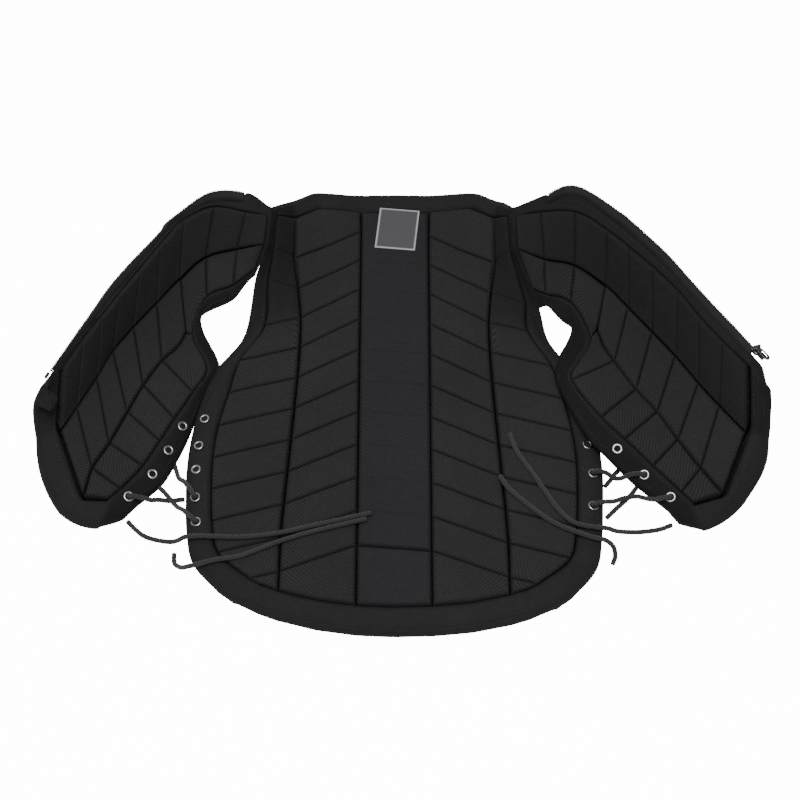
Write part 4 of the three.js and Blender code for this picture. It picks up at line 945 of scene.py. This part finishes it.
def shell_body(panel, uu, vv, parts, widths, shape, seed):
    """Outer cloth: a floor under the pads and a padded border. parts are shares of the way over
    each border, one at the outline and nought at the pocket, and the greatest counts. The border's
    top sinks toward the outline, where a quarter circle turns it under, and another turns it down
    at the pocket. Puckers run across its stitch line."""
    which = parts.argmax(axis=0)[None]
    edge = np.clip(np.take_along_axis(parts, which, 0)[0], 0, 1)
    width = np.take_along_axis(widths, which, 0)[0]
    depth = panel.depth(uu, vv)
    flat = panel.point(uu, vv)
    lie = np.minimum(BORDER["drop"] + BORDER["sink"] * edge, depth * 0.4)
    half = (depth - lie) / 2
    outer = fillet((1 - edge) * width, np.minimum(shape.border_round, width * 0.4))
    inner = fillet(edge * width, np.minimum(shape.groove_width + 1, width * 0.4))
    line = bump_at(edge * width, SEWN["inner"]) + bump_at((1 - edge) * width, SEWN["outer"])
    soft = np.minimum(depth / FOAM, 1) * outer * inner
    swell = shape.border_swell * np.sin(np.clip(edge, 0, 1) * math.pi)
    ripple = (shape.waves * 2.2 * wander(flat, 42, seed) + 0.5 * wander(flat, 13, seed + 5)) * soft
    inner_drop = np.minimum(shape.groove_depth, depth * 0.5) * shape.border_share
    turn_under = half * 0.92 * (1 - outer)
    top = -lie - turn_under - inner_drop * (1 - inner) + (swell - 0.9 * line) * soft + ripple
    pocket = edge <= 0
    top_points = panel.at(uu, vv, np.where(pocket, FLOOR - depth, top))
    bottom = np.where(pocket, -depth, -depth + turn_under)
    # The shade mask is painted shade: whole on the pocket's floor under the pads, and darker where the border
    # dips beside them, along its sewn lines and on faces turned from the light.
    shade = np.where(pocket, 1.0, np.maximum((1 - inner) * 0.6 + 0.3 * line, panel.shadow(uu, vv)).clip(0, 1))
    points, quads = slab(top_points, panel.at(uu, vv, bottom))
    return points, quads, arc_map(top_points), np.tile(shade.ravel(), 2)


def border_places(start, end, count):
    """Places over a border from start to end, close together at both turns and the last one just
    short of the pocket's own line at end."""
    t = (1 - np.cos(np.linspace(0, math.pi, count))) / 2 * 0.998
    return start + (end - start) * t


def back_shell_body(shape):
    """The back's shell: u and v lines close together in the borders and even in the pocket."""
    side = border_places(-5, -4, 14)
    u = np.concatenate([side, np.linspace(-4, 4, 65), -side[::-1]])
    neck = border_places(0, 1, 12)
    hem = border_places(HEM_EDGE, POCKET_END, 14)[::-1]
    uu, vv = np.meshgrid(u, np.concatenate([neck, np.linspace(1, POCKET_END, 97), hem]))
    parts = np.stack([np.abs(uu) - 4, 1 - vv, vv - POCKET_END])
    sign, full = np.sign(uu + 1e-9), np.zeros_like(vv)
    widths = np.stack([
        length_of(BACK.point(5 * sign, vv) - BACK.point(4 * sign, vv)),
        length_of(BACK.point(uu, full) - BACK.point(uu, full + 1)),
        length_of(BACK.point(uu, full + HEM_EDGE) - BACK.point(uu, full + POCKET_END)),
    ])
    return shell_body(BACK, uu, vv, parts, widths, shape, 3)


def zip_border(panel, v):
    """The width of a front's border at its zip edge."""
    return length_of(panel.point(0 * v, v) - panel.point(0 * v + 1, v))


def zip_edge(panel, v):
    """Where a front's cloth ends short of its zip teeth: from the corner of the neck on, the zip's
    reach as a share of the border."""
    return smoothstep(v, 1, 1.3) * np.minimum(ZIP["reach"] / zip_border(panel, v), 0.6)


def front_shell_body(name, shape):
    """A front's shell, whose first lines across follow the zip's edge."""
    panel = FRONTS[name]
    row_length = span(panel, (2, 0), (2, 1))
    start, gap = SEAM_BAND / row_length, SEAM_GAP / row_length
    v = np.concatenate([
        border_places(gap, start, 8),
        np.linspace(start, POCKET_ROW, 120),
        border_places(FRONT_EDGE, POCKET_ROW, 14)[::-1],
    ])
    edge_at = zip_edge(panel, v)[:, None]
    near_zip = edge_at + (1 - edge_at) * border_places(0, 1, 12)[None]
    rest = np.concatenate([np.linspace(1, 4, 31), border_places(5, 4, 14)[::-1]])
    uu = np.concatenate([near_zip, np.tile(rest, (len(v), 1))], axis=1)
    vv, zip_at = (np.tile(column, (1, uu.shape[1])) for column in (v[:, None], edge_at))
    parts = np.stack([(1 - uu) / (1 - zip_at), uu - 4, vv - POCKET_ROW, (start - vv) / (start - gap)])
    full = np.zeros_like(vv)
    widths = np.stack([
        length_of(panel.point(zip_at, vv) - panel.point(full + 1, vv)),
        length_of(panel.point(full + 5, vv) - panel.point(full + 4, vv)),
        length_of(panel.point(uu, full + FRONT_EDGE) - panel.point(uu, full + POCKET_ROW)),
        full + SEAM_BAND,
    ])
    return shell_body(panel, uu, vv, parts, widths, shape, 11 if name == "left" else 17)


# Lines on panels.
def border_height(panel, u, v):
    """The top of a border: down by the drop and by the sink times its share from the pocket."""
    if panel is BACK:
        edge = np.maximum.reduce([np.abs(u) - 4, 1 - v, v - POCKET_END, 0 * v])
    else:
        edge = np.maximum.reduce([1 - u, u - 4, v - POCKET_ROW, 0 * v])
    return -np.minimum(BORDER["drop"] + BORDER["sink"] * edge, panel.depth(u, v) * 0.4)


def even_line(points, pitch):
    """Points at an even pitch along a line, with the line's direction at each and their distances
    along it."""
    steps = running_length(points)
    at = np.arange(pitch / 2, steps[-1], pitch)
    ahead = read_along(points, steps, np.minimum(at + 0.5, steps[-1]))
    behind = read_along(points, steps, np.maximum(at - 0.5, 0))
    return read_along(points, steps, at), unit(ahead - behind), at


def stitches_on(panel, u, v):
    """A row of thread stitches over a line of a panel's border, each a small bead laid along it."""
    line = panel.at(u, v, border_height(panel, u, v) + STITCH["lift"])
    centres, along, at = even_line(line, STITCH["pitch"])
    up = unit(read_along(panel.normal(u, v), running_length(line), at))
    stitch = bead((STITCH["length"], STITCH["width"], STITCH["width"]), around=6, rings=3)
    return repeated(stitch, centres, along, unit(np.cross(up, along)), up)


def lace_points(name, seats):
    """The lace's points in millimetres. An end in an eyelet has two points straight up from it."""
    side = SIDES["left" if "_left" in name else "right"]
    points = []
    for i, place in enumerate(LACES[name]):
        if isinstance(place, str):
            centre, normal = seats[place]
            ends = [centre + normal * (EYELET["height"] + 0.15), centre + normal * LACE_RADIUS * 2]
            points += ends if i == 0 else ends[::-1]
        else:
            out, down, rise = place
            points.append(front_place(side * out, down, rise))
    return np.array(points)


def smooth_route(points, pitch):
    """A centripetal Catmull-Rom curve: each span is a cubic whose end slopes weigh the neighbours by
    the root of their distances, then spread at an even pitch. Returned with its length."""
    full = np.concatenate([[2 * points[0] - points[1]], points, [2 * points[-1] - points[-2]]])
    a, b, c, d = full[:-3], full[1:-2], full[2:-1], full[3:]
    ab, bc, cd = (np.maximum(length_of(y - x), 1e-4)[:, None] ** 0.5 for x, y in ((a, b), (b, c), (c, d)))
    slope_b = ((b - a) / ab - (c - a) / (ab + bc) + (c - b) / bc) * bc
    slope_c = ((c - b) / bc - (d - b) / (bc + cd) + (d - c) / cd) * bc
    t = np.linspace(0, 1, 17)[:-1][None, :, None]
    b, c, slope_b, slope_c = (x[:, None] for x in (b, c, slope_b, slope_c))
    curve = (b * (2 * t ** 3 - 3 * t ** 2 + 1) + slope_b * (t ** 3 - 2 * t ** 2 + t)
             + c * (3 * t ** 2 - 2 * t ** 3) + slope_c * (t ** 3 - t ** 2)).reshape(-1, 3)
    curve = np.concatenate([curve, points[-1:]])
    steps = running_length(curve)
    at = np.linspace(0, steps[-1], max(12, int(steps[-1] / pitch)))
    return read_along(curve, steps, at), steps[-1]


def tube_body(path, radius, around):
    """A round tube: rings set square to the path, each turned from the direction in which the path
    turns least, with a small dome at both ends."""
    tangent = unit(np.gradient(path, axis=0))
    side = unit(np.cross(tangent, np.linalg.svd(tangent, full_matrices=False)[2][-1]))
    up = np.cross(side, tangent)
    angle = np.arange(around + 1) * 2 * math.pi / around
    ring = np.cos(angle)[None, :, None] * side[:, None] + np.sin(angle)[None, :, None] * up[:, None]
    centres, rings, lean = (np.concatenate([x[:1], x[:1], x, x[-1:], x[-1:]]) for x in (path, ring, tangent))
    caps = np.array([0.35, 0.8])
    scale = np.concatenate([caps, np.ones(len(path)), caps[::-1]]) * radius
    push = np.concatenate([[-0.5, -0.35], np.zeros(len(path)), [0.35, 0.5]])
    grid = centres[:, None] + rings * scale[:, None, None] + lean[:, None] * push[:, None, None]
    poles = np.array([grid[0].mean(axis=0) - lean[0] * 0.1, grid[-1].mean(axis=0) + lean[-1] * 0.1])
    points = np.concatenate([grid.reshape(-1, 3), poles])
    quads = np.concatenate([grid_quads(len(grid), around + 1), pole_caps(around, around + 1, len(grid))])
    uv = np.stack(np.meshgrid(np.linspace(0, 1, around + 1), running_length(centres) / 10), axis=-1)
    uv = uv.reshape(-1, 2)
    return points, turned_out(points, quads), np.concatenate([uv, uv[[0, -1]]])


def eyelet_seats():
    """Where each eyelet stands on its border and the border's own slope there."""
    seats = {}
    for (panel_name, name), places in EYELETS.items():
        panel = BACK if panel_name == "back" else FRONTS[name]

        def on_border(u, v):
            uu, vv = np.array([float(u)]), np.array([float(v)])
            return panel.at(uu, vv, border_height(panel, uu, vv))[0]

        for i, (u, v) in enumerate(places):
            normal = unit(np.cross(on_border(u + 0.2, v) - on_border(u - 0.2, v),
                                   on_border(u, v + 0.3) - on_border(u, v - 0.3)))
            normal = -normal if normal[2] < 0 else normal
            seats[f"{panel_name}_{name}_{i + 1}"] = (on_border(u, v) + normal * EYELET["lift"], normal)
    return seats


# The zip.
def zip_frame(name, v):
    """The middle of the zip's edge at v, with X to the side, Y along the zip to the hem and Z up."""
    at = FRONTS[name].at(np.array([0.0, 0.0]), np.array([v, v + 0.02]), ZIP_MIDDLE)
    turn = math.atan2(at[1, 1] - at[0, 1], at[1, 0] - at[0, 0])
    y = np.array([math.cos(turn), math.sin(turn), 0])
    return at[0], np.array([y[1], -y[0], 0]), y, np.array([0, 0, 1.0])


def slider_frame():
    """The slider's middle below the pull tab's hinge, with X along the hinge, Y along the zip and Z
    up."""
    hinge = next(joint for joint in frame["joints"] if joint["name"] == "pull_tab_hinge")
    x = unit(np.array(hinge["axis"], float))
    z = np.array([0, 0, 1.0])
    return (np.array(hinge["pos_m"], float) - PLACE) / MM - z * PIN_RISE, x, np.cross(z, x), z


def zip_part(name, parts, zip_place, material, body="vest"):
    """One piece from bodies and their centres, both in the zip's own frame at its place."""
    origin, x, y, z = zip_place
    placed = []
    for (points, faces), centre in parts:
        local = points + np.array(centre)
        placed.append((origin + local[:, :1] * x + local[:, 1:2] * y + local[:, 2:] * z, faces))
    make_piece(name, *joined(placed), material, "zip_metal", body=body)


def zip_half(name, panel, tape, plastic):
    """The teeth at even steps along a front's zip edge, and the tape from them to under the shell."""
    v = np.linspace(ZIP["start"], ZIP["end"] + ZIP["into_slider"] * (name == "right"), 160)
    border = zip_border(panel, v)
    centres, along, at = even_line(panel.at(ZIP["tooth"] / 2 / border, v, ZIP_MIDDLE), ZIP["pitch"])
    side = unit(np.cross(np.tile([0, 0, 1.0], (len(at), 1)), along))
    tooth = bead((ZIP["tooth_length"], ZIP["tooth"], ZIP["tooth_height"]), power=0.5)
    make_piece(f"zip_teeth_{name}", *repeated(tooth, centres, along, side, np.cross(along, side)), plastic,
               "zip_teeth")
    across = np.array([1.0, 3.0, 5.0, ZIP["reach"] + ZIP["under_shell"]])
    uu, vv = across[None] / border[:, None], np.tile(v[:, None], (1, len(across)))
    top, bottom = (panel.at(uu, vv, ZIP_MIDDLE + sign * ZIP["tape"] / 2) for sign in (1, -1))
    make_piece(f"zip_tape_{name}", *slab(top, bottom), tape, "zip_tape", uv=arc_map(top))


def slider_parts():
    """The slider's body, with two lugs that hold the pin of the pull tab."""
    pin = 2 * SLIDER["pin"]
    lug = bead((SLIDER["lug"], 1.5 * pin, SLIDER["rise"] + pin), 16, 9, 0.4)
    lug_rise = SLIDER["height"] / 2 + SLIDER["rise"] / 2
    return [
        (bead((SLIDER["width"], SLIDER["length"], SLIDER["height"]), 32, 13, 0.45), (0, 0, 0)),
        *((lug, (sign * SLIDER["lug_at"], 0, lug_rise)) for sign in (-1, 1)),
        (bead((2 * SLIDER["lug_at"], pin, pin), 16, 9, 0.5), (0, 0, PIN_RISE)),
    ]


def pull_tab_parts():
    """The pull tab: an oval ring with a heel and two fingers that reach round the pin."""
    turn, section = circle(40), circle(12)
    plate_length = PULL["length"] - PULL["gap"]
    reach = (np.abs(np.cos(turn)) ** 3 + np.abs(np.sin(turn)) ** 3) ** (-1 / 3)
    halves = ((PULL["width"] / 2, plate_length / 2), (PULL["width"] / 4.4, plate_length / 3.6))
    outside, inside = (np.stack([np.cos(turn) * reach * x, np.sin(turn) * reach * y, 0 * turn], axis=1)
                       for x, y in halves)
    wide, tall = boxed(np.cos(section), 0.5), boxed(np.sin(section), 0.5)
    ring = ((outside + inside)[:, None] / 2 + (outside - inside)[:, None] / 2 * wide[None, :, None]
            + np.array([0, 0, PULL["thickness"] / 2]) * tall[None, :, None])
    heel_y = PULL["gap"] + PULL["finger"]
    heel = bead((PULL["width"], 2 * PULL["finger"], 2 * heel_y), 24, 9, 0.4)
    finger = bead((PULL["width"], PULL["fork"], PULL["finger"]), 24, 9, 0.4)
    finger_rise = PULL["gap"] + PULL["finger"] / 2
    plate = (ring.reshape(-1, 3), loop_quads(len(turn), len(section)))
    return [
        (plate, (0, (PULL["length"] + PULL["gap"]) / 2, PIN_RISE)),
        (heel, (0, heel_y, PIN_RISE)),
        *((finger, (0, heel_y - PULL["fork"] / 2, PIN_RISE + sign * finger_rise)) for sign in (-1, 1)),
    ]


def size(name, description, default, largest, smallest=0):
    """A size between two bounds."""
    return FloatProperty(name=name, description=description, default=default, min=smallest, max=largest)


def paint(name, description, *rgb):
    """A base colour."""
    return FloatVectorProperty(name=name, description=description, subtype="COLOR", default=rgb)


class ProtectorShape(bpy.types.PropertyGroup):
    """Sizes of the soft parts, in millimetres."""

    groove_depth: size("Column groove depth", "How far the lining dips between columns", 8.5, 12)
    border_share: size("Border groove", "Depth beside the border, as a share of the rest", 0.55, 1)
    groove_width: size("Column groove shoulder", "Width of the round edge beside a groove", 4.6, 12, 1)
    row_depth: size("Row groove depth", "How far the lining dips between blocks", 6.5, 12)
    row_width: size("Row groove shoulder", "Width of the round edge of a block", 3.6, 12, 1)
    spine_depth: size("Spine line depth", "Depth of the faint lines across the spine pad", 0.9, 6)
    crown: size("Block crown", "How far a block's middle stands proud", 0.8, 4)
    waves: size("Cloth waves", "Height of the soft random waves", 0.45, 3)
    border_round: size("Border round", "Width of the turn at the outline", 5.5, 12, 1)
    border_swell: size("Border swell", "How far the padded border stands up", 1.2, 4)
    cell: size("Cell", "Spacing of the grid in a block's middle", 4.2, 12, 1)


class ProtectorColours(bpy.types.PropertyGroup):
    """Base colours of the finishes."""

    shell: paint("Shell cloth", "Border and outer cloth", 0.0165, 0.0165, 0.0174)
    block: paint("Block mesh", "Lining over the blocks", 0.027, 0.027, 0.0282)
    spine: paint("Spine mesh", "Lining over the spine", 0.0245, 0.0245, 0.0272)
    lace: paint("Lace", "Braided cord", 0.021, 0.021, 0.023)
    patch: paint("Patch", "Plain patch", 0.068, 0.067, 0.078)
    outline: paint("Patch outline", "Outline of the patch", 0.62, 0.62, 0.64)
    silver: paint("Eyelet metal", "Nickel plate", 0.42, 0.42, 0.43)
    dark_metal: paint("Zip metal", "Dark zip metal", 0.16, 0.16, 0.17)
    plastic: paint("Zip plastic", "Teeth and end pieces", 0.03, 0.03, 0.032)


class ProtectorStage(bpy.types.PropertyGroup):
    """Camera, floor and lights."""

    elevation: FloatProperty(name="Camera elevation", description="Angle above the floor", subtype="ANGLE",
                             default=math.radians(57))
    distance: FloatProperty(name="Camera distance", description="From the point it looks at", unit="LENGTH",
                            default=2.205)
    look_x: FloatProperty(name="Look at X", description="Side place of the point it looks at", unit="LENGTH",
                          default=0.006)
    lens: FloatProperty(name="Lens", description="Focal length for a 36 mm sensor", default=87.75)
    world: FloatProperty(name="Sky light", description="Strength of the even light", default=0.24)
    glow: FloatProperty(name="Backdrop glow", description="How much brighter the backdrop looks than it lights",
                        default=14.0)
    key: FloatProperty(name="Key light", description="Power of the large soft light", default=45.0)
    fill: FloatProperty(name="Fill light", description="Power of the second soft light", default=7.0)
    floor: paint("Floor", "Colour of the floor", 0.9, 0.9, 0.9)
    lace_sides: IntProperty(name="Lace sides", description="Faces round a lace", default=14, min=6, max=32)


def stand(name, data, place, toward):
    """An object at a place, turned to look along a direction."""
    thing = bpy.data.objects.new(name, data)
    thing.location = place
    thing.rotation_mode = "QUATERNION"
    thing.rotation_quaternion = toward.to_track_quat("-Z", "Y")
    bpy.context.scene.collection.objects.link(thing)
    return thing


class PROTECTOR_OT_stage(bpy.types.Operator):
    """Make the floor, the lights and the camera"""

    bl_idname = "protector.stage"
    bl_label = "Stage"

    def execute(self, context):
        stage = context.scene.protector_stage
        paper = Finish("floor_paper")
        seen = paper.tree.nodes.new("ShaderNodeLightPath").outputs["Is Camera Ray"]
        paper.set(Base_Color=colour(stage.floor), Roughness=0.9, Emission_Color=(1, 1, 1, 1),
                  Emission_Strength=math_node(paper.tree, "MULTIPLY", seen, stage.glow))
        mesh = bpy.data.meshes.new("floor")
        mesh.from_pydata([(-40, -40, 0), (40, -40, 0), (40, 40, 0), (-40, 40, 0)], [], [(0, 1, 2, 3)])
        mesh.materials.append(paper.material)
        floor = bpy.data.objects.new("floor", mesh)
        context.scene.collection.objects.link(floor)

        world = bpy.data.worlds.new("studio")
        world.use_nodes = True
        tree = world.node_tree
        backdrop = tree.nodes["Background"].inputs
        seen = tree.nodes.new("ShaderNodeLightPath").outputs["Is Camera Ray"]
        put(tree, backdrop["Color"], (1, 1, 1, 1))
        put(tree, backdrop["Strength"], math_node(tree, "ADD", math_node(tree, "MULTIPLY", seen, stage.glow),
                                                  stage.world))
        context.scene.world = world
        for name, power, width, place in (
            ("key_light", stage.key, 1.3, (-0.1, -0.55, 2.2)),
            ("fill_light", stage.fill, 2.0, (-1.1, 1.3, 1.5)),
        ):
            light = bpy.data.lights.new(name, "AREA")
            light.energy = power
            light.size = width
            stand(name, light, place, -Vector(place))

        target = Vector((stage.look_x + PLACE[0], PLACE[1], 0))
        back = Vector((0, -math.cos(stage.elevation), math.sin(stage.elevation)))
        camera = bpy.data.cameras.new("camera")
        camera.lens = stage.lens
        camera.sensor_width = 36
        context.scene.camera = stand("camera", camera, target + back * stage.distance, -back)
        return {"FINISHED"}


class PROTECTOR_OT_laces(bpy.types.Operator):
    """Lay the side laces, each a braided cord"""

    bl_idname = "protector.laces"
    bl_label = "Laces"

    def execute(self, context):
        material = cord_material("lace_braid", context.scene.protector_colours.lace)
        seats = eyelet_seats()
        for name in LACES:
            path, length = smooth_route(lace_points(name, seats), 2.2)
            points, quads, uv = tube_body(path, LACE_RADIUS, context.scene.protector_stage.lace_sides)
            lace = make_piece(name, points, quads, material, "lace_cord", uv=uv)
        return {"FINISHED"}


class PROTECTOR_OT_shells(bpy.types.Operator):
    """Make the outer cloth of the back and the fronts with its padded borders"""

    bl_idname = "protector.shells"
    bl_label = "Shells"

    def execute(self, context):
        shape = context.scene.protector_shape
        material = cloth_material("shell_weave", context.scene.protector_colours.shell, "plain_weave", 9.0,
                                  0.12, roughness=0.8, wear=0.5, sheen=0.02)
        bodies = {"back_shell": back_shell_body(shape)}
        bodies.update({f"front_shell_{name}": front_shell_body(name, shape) for name in SIDES})
        for name, (points, quads, uv, shade) in bodies.items():
            make_piece(name, points, quads, material, "shell_cloth", uv=uv, shade=shade)
        return {"FINISHED"}


class PROTECTOR_OT_pads(bpy.types.Operator):
    """Make the foam pads under their mesh lining"""

    bl_idname = "protector.pads"
    bl_label = "Pads"

    def execute(self, context):
        shape = context.scene.protector_shape
        colours = context.scene.protector_colours
        block = cloth_material("block_knit", colours.block, "knit_mesh", 3.3, 0.9, roughness=0.82, wear=0.55)
        spine = cloth_material("spine_knit", colours.spine, "knit_mesh", 3.3, 0.6, roughness=0.8, wear=0.45)
        for part, rows, seed in (("spine", list(range(1, LAST_CHEVRON + 1)), 21),
                                 ("tail", [LAST_CHEVRON, POCKET_END], 22)):
            make_pad(f"back_{part}_pad", spine, "spine_mesh", [((-1, 1), rows)], shape, shape.spine_depth,
                     seed, BACK)
        rows = list(range(1, POCKET_END + 1))
        for name, sign in SIDES.items():
            panel = FRONTS[name]
            start = SEAM_BAND / span(panel, (2, 0), (2, 1))
            lines = [start, *FRONT_GROOVES, POCKET_ROW - FRONT["end_gap"]]
            fork = lines.index(3)
            upper, lower = lines[:fork + 1], lines[fork:]
            for part, patches, seed, under in (
                ("back_inner", [((1, 3) if sign > 0 else (-3, -1), rows)], 31, BACK),
                ("back_outer", [((3, 4) if sign > 0 else (-4, -3), rows)], 41, BACK),
                ("front_outer", [((1, 2), lines)], 51, panel),
                ("front_mid", [((2, 4), upper), ((2, 3), lower)], 61, panel),
                ("front_inner", [((3, 4), lower)], 71, panel),
            ):
                make_pad(f"{part}_pads_{name}", block, "block_mesh", patches, shape, shape.row_depth, seed,
                         under)
        return {"FINISHED"}


class PROTECTOR_OT_stitching(bpy.types.Operator):
    """Sew the stitch lines of the borders"""

    bl_idname = "protector.stitching"
    bl_label = "Stitching"

    def execute(self, context):
        material = cord_material("thread", context.scene.protector_colours.shell)
        u, v = np.linspace(-4, 4, 160), np.linspace(STRAP_ROWS + 0.4, POCKET_END, 220)
        rows = []
        for offset in STITCH["lines"]:
            rows += [stitches_on(BACK, 0 * v + sign * (4 + offset), v) for sign in (-1, 1)]
            rows += [stitches_on(BACK, u, 0 * u + at) for at in (POCKET_END + offset, 1 - offset)]
        make_piece("back_stitches", *joined(rows), material, "lace_cord", replaces=())
        u, v = np.linspace(1, 4, 120), np.linspace(0.6, POCKET_ROW, 220)
        zip_line = v[v > 1.6]
        for name, panel in FRONTS.items():
            rows = []
            for offset in STITCH["lines"]:
                rows.append(stitches_on(panel, 0 * v + 4 + offset, v))
                rows.append(stitches_on(panel, u, 0 * u + POCKET_ROW + offset))
            rows.append(stitches_on(panel, 1 - (1 - zip_edge(panel, zip_line)) * 0.5, zip_line))
            make_piece(f"front_stitches_{name}", *joined(rows), material, "lace_cord", replaces=())
        return {"FINISHED"}


class PROTECTOR_OT_eyelets(bpy.types.Operator):
    """Set the rolled metal eyelets of the side lacing"""

    bl_idname = "protector.eyelets"
    bl_label = "Eyelets"

    def execute(self, context):
        material = metal_material("eyelet_nickel", context.scene.protector_colours.silver, 0.28, 1.0, 0.15)
        middle, half = (EYELET["outer"] + EYELET["bore"]) / 2, (EYELET["outer"] - EYELET["bore"]) / 2
        profile = [(middle + half * math.cos(t), EYELET["height"] * (0.5 + 0.5 * math.sin(t)))
                   for t in circle(12)]
        seats = eyelet_seats()
        centres, normals = (np.array([seat[k] for seat in seats.values()]) for k in (0, 1))
        side = unit(np.cross(normals, np.array([0, 1.0, 0])))
        rings = repeated(turned_ring(profile, 28), centres, side, np.cross(normals, side), normals)
        make_piece("eyelets", *rings, material, "eyelet_metal", replaces=[f"eyelet_{key}" for key in seats])
        return {"FINISHED"}


class PROTECTOR_OT_zip(bpy.types.Operator):
    """Make the two halves of the zip with its slider, pull tab and end pieces"""

    bl_idname = "protector.zip"
    bl_label = "Zip"

    def execute(self, context):
        colours = context.scene.protector_colours
        tape = cloth_material("zip_tape_weave", colours.shell, "plain_weave", 12.0, 0.1, roughness=0.7,
                              wear=0.6)
        plastic = metal_material("zip_plastic", colours.plastic, 0.35, 0.0, 0.2)
        metal = metal_material("zip_dark_metal", colours.dark_metal, 0.35, 1.0, 0.2)
        for name, panel in FRONTS.items():
            zip_half(name, panel, tape, plastic)
        place = slider_frame()
        zip_part("zip_slider", slider_parts(), place, metal)
        zip_part("zip_pull_tab", pull_tab_parts(), place, metal, body="pull_tab")
        for name, width, power, gap, end_place in (
            ("zip_box", ZIP_END["width"], 0.3, SLIDER["length"] / 2 + ZIP["gap"], place),
            ("zip_pin", ZIP_END["pin"], 0.4, ZIP["gap"] * 3, zip_frame("left", ZIP["end"])),
        ):
            end = bead((width, ZIP_END["length"], ZIP_END["height"]), 24, 9, power)
            zip_part(name, [(end, (0, gap + ZIP_END["length"] / 2, 0))], end_place, plastic)
        return {"FINISHED"}


class PROTECTOR_OT_patch(bpy.types.Operator):
    """Sew the plain patch under the neck"""

    bl_idname = "protector.patch"
    bl_label = "Neck patch"

    def execute(self, context):
        colours = context.scene.protector_colours
        material = patch_material("patch_satin", colours.patch, colours.outline)
        xx, yy = np.meshgrid(np.linspace(-0.5, 0.5, 49) * PATCH["width"],
                             np.linspace(-0.5, 0.5, 61) * PATCH["length"])
        to_edge = np.minimum(PATCH["width"] / 2 - np.abs(xx), PATCH["length"] / 2 - np.abs(yy))
        bow = PATCH["bow"] * wander(np.stack([xx, yy, 0 * xx], axis=-1), PATCH["bow_length"], 8)
        bow = bow * np.clip(to_edge / PATCH["flat_edge"], 0, 1)
        c, s = math.cos(PATCH["turn"]), math.sin(PATCH["turn"])
        base = FOAM + PATCH["rise"] + PATCH["under"]
        top = np.stack([PATCH["x"] + c * xx - s * yy, PATCH["y"] + s * xx + c * yy,
                        base + PATCH["thickness"] * fillet(to_edge + 0.15, 0.8) + bow], axis=-1)
        bottom = top.copy()
        bottom[..., 2] = base + np.minimum(bow, 0) - PATCH["into"]
        rim = np.exp(-((to_edge - PATCH["outline_at"]) / PATCH["outline"]) ** 4)
        patch = make_piece("neck_patch", *slab(top, bottom), material, "patch_cloth", uv=arc_map(top),
                           shade=np.tile(rim.ravel(), 2))
        return {"FINISHED"}


class PROTECTOR_PT_panel(bpy.types.Panel):
    """Lists the sizes and the operators"""

    bl_idname = "PROTECTOR_PT_panel"
    bl_label = "Body protector"
    bl_space_type = "VIEW_3D"
    bl_region_type = "UI"
    bl_category = "Body protector"

    def draw(self, context):
        layout = self.layout
        for group in GROUPS:
            values = getattr(context.scene, group)
            for key in values.bl_rna.properties.keys():
                if key not in ("rna_type", "name"):
                    layout.prop(values, key)
        for operator in OPERATORS:
            layout.operator(operator.bl_idname)


OPERATORS = (PROTECTOR_OT_stage, PROTECTOR_OT_laces, PROTECTOR_OT_shells, PROTECTOR_OT_pads,
             PROTECTOR_OT_stitching, PROTECTOR_OT_eyelets, PROTECTOR_OT_zip, PROTECTOR_OT_patch)
GROUPS = {"protector_shape": ProtectorShape, "protector_colours": ProtectorColours,
          "protector_stage": ProtectorStage}
CLASSES = (*GROUPS.values(), *OPERATORS, PROTECTOR_PT_panel)


def register():
    for cls in CLASSES:
        bpy.utils.register_class(cls)
    for name, group in GROUPS.items():
        setattr(bpy.types.Scene, name, PointerProperty(type=group))


def unregister():
    for name in GROUPS:
        delattr(bpy.types.Scene, name)
    for cls in reversed(CLASSES):
        bpy.utils.unregister_class(cls)


def main():
    """Makes every piece in order."""
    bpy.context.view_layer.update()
    register()
    for operator in OPERATORS:
        group, name = operator.bl_idname.split(".")
        getattr(getattr(bpy.ops, group), name)()


if __name__ == "__main__":
    main()
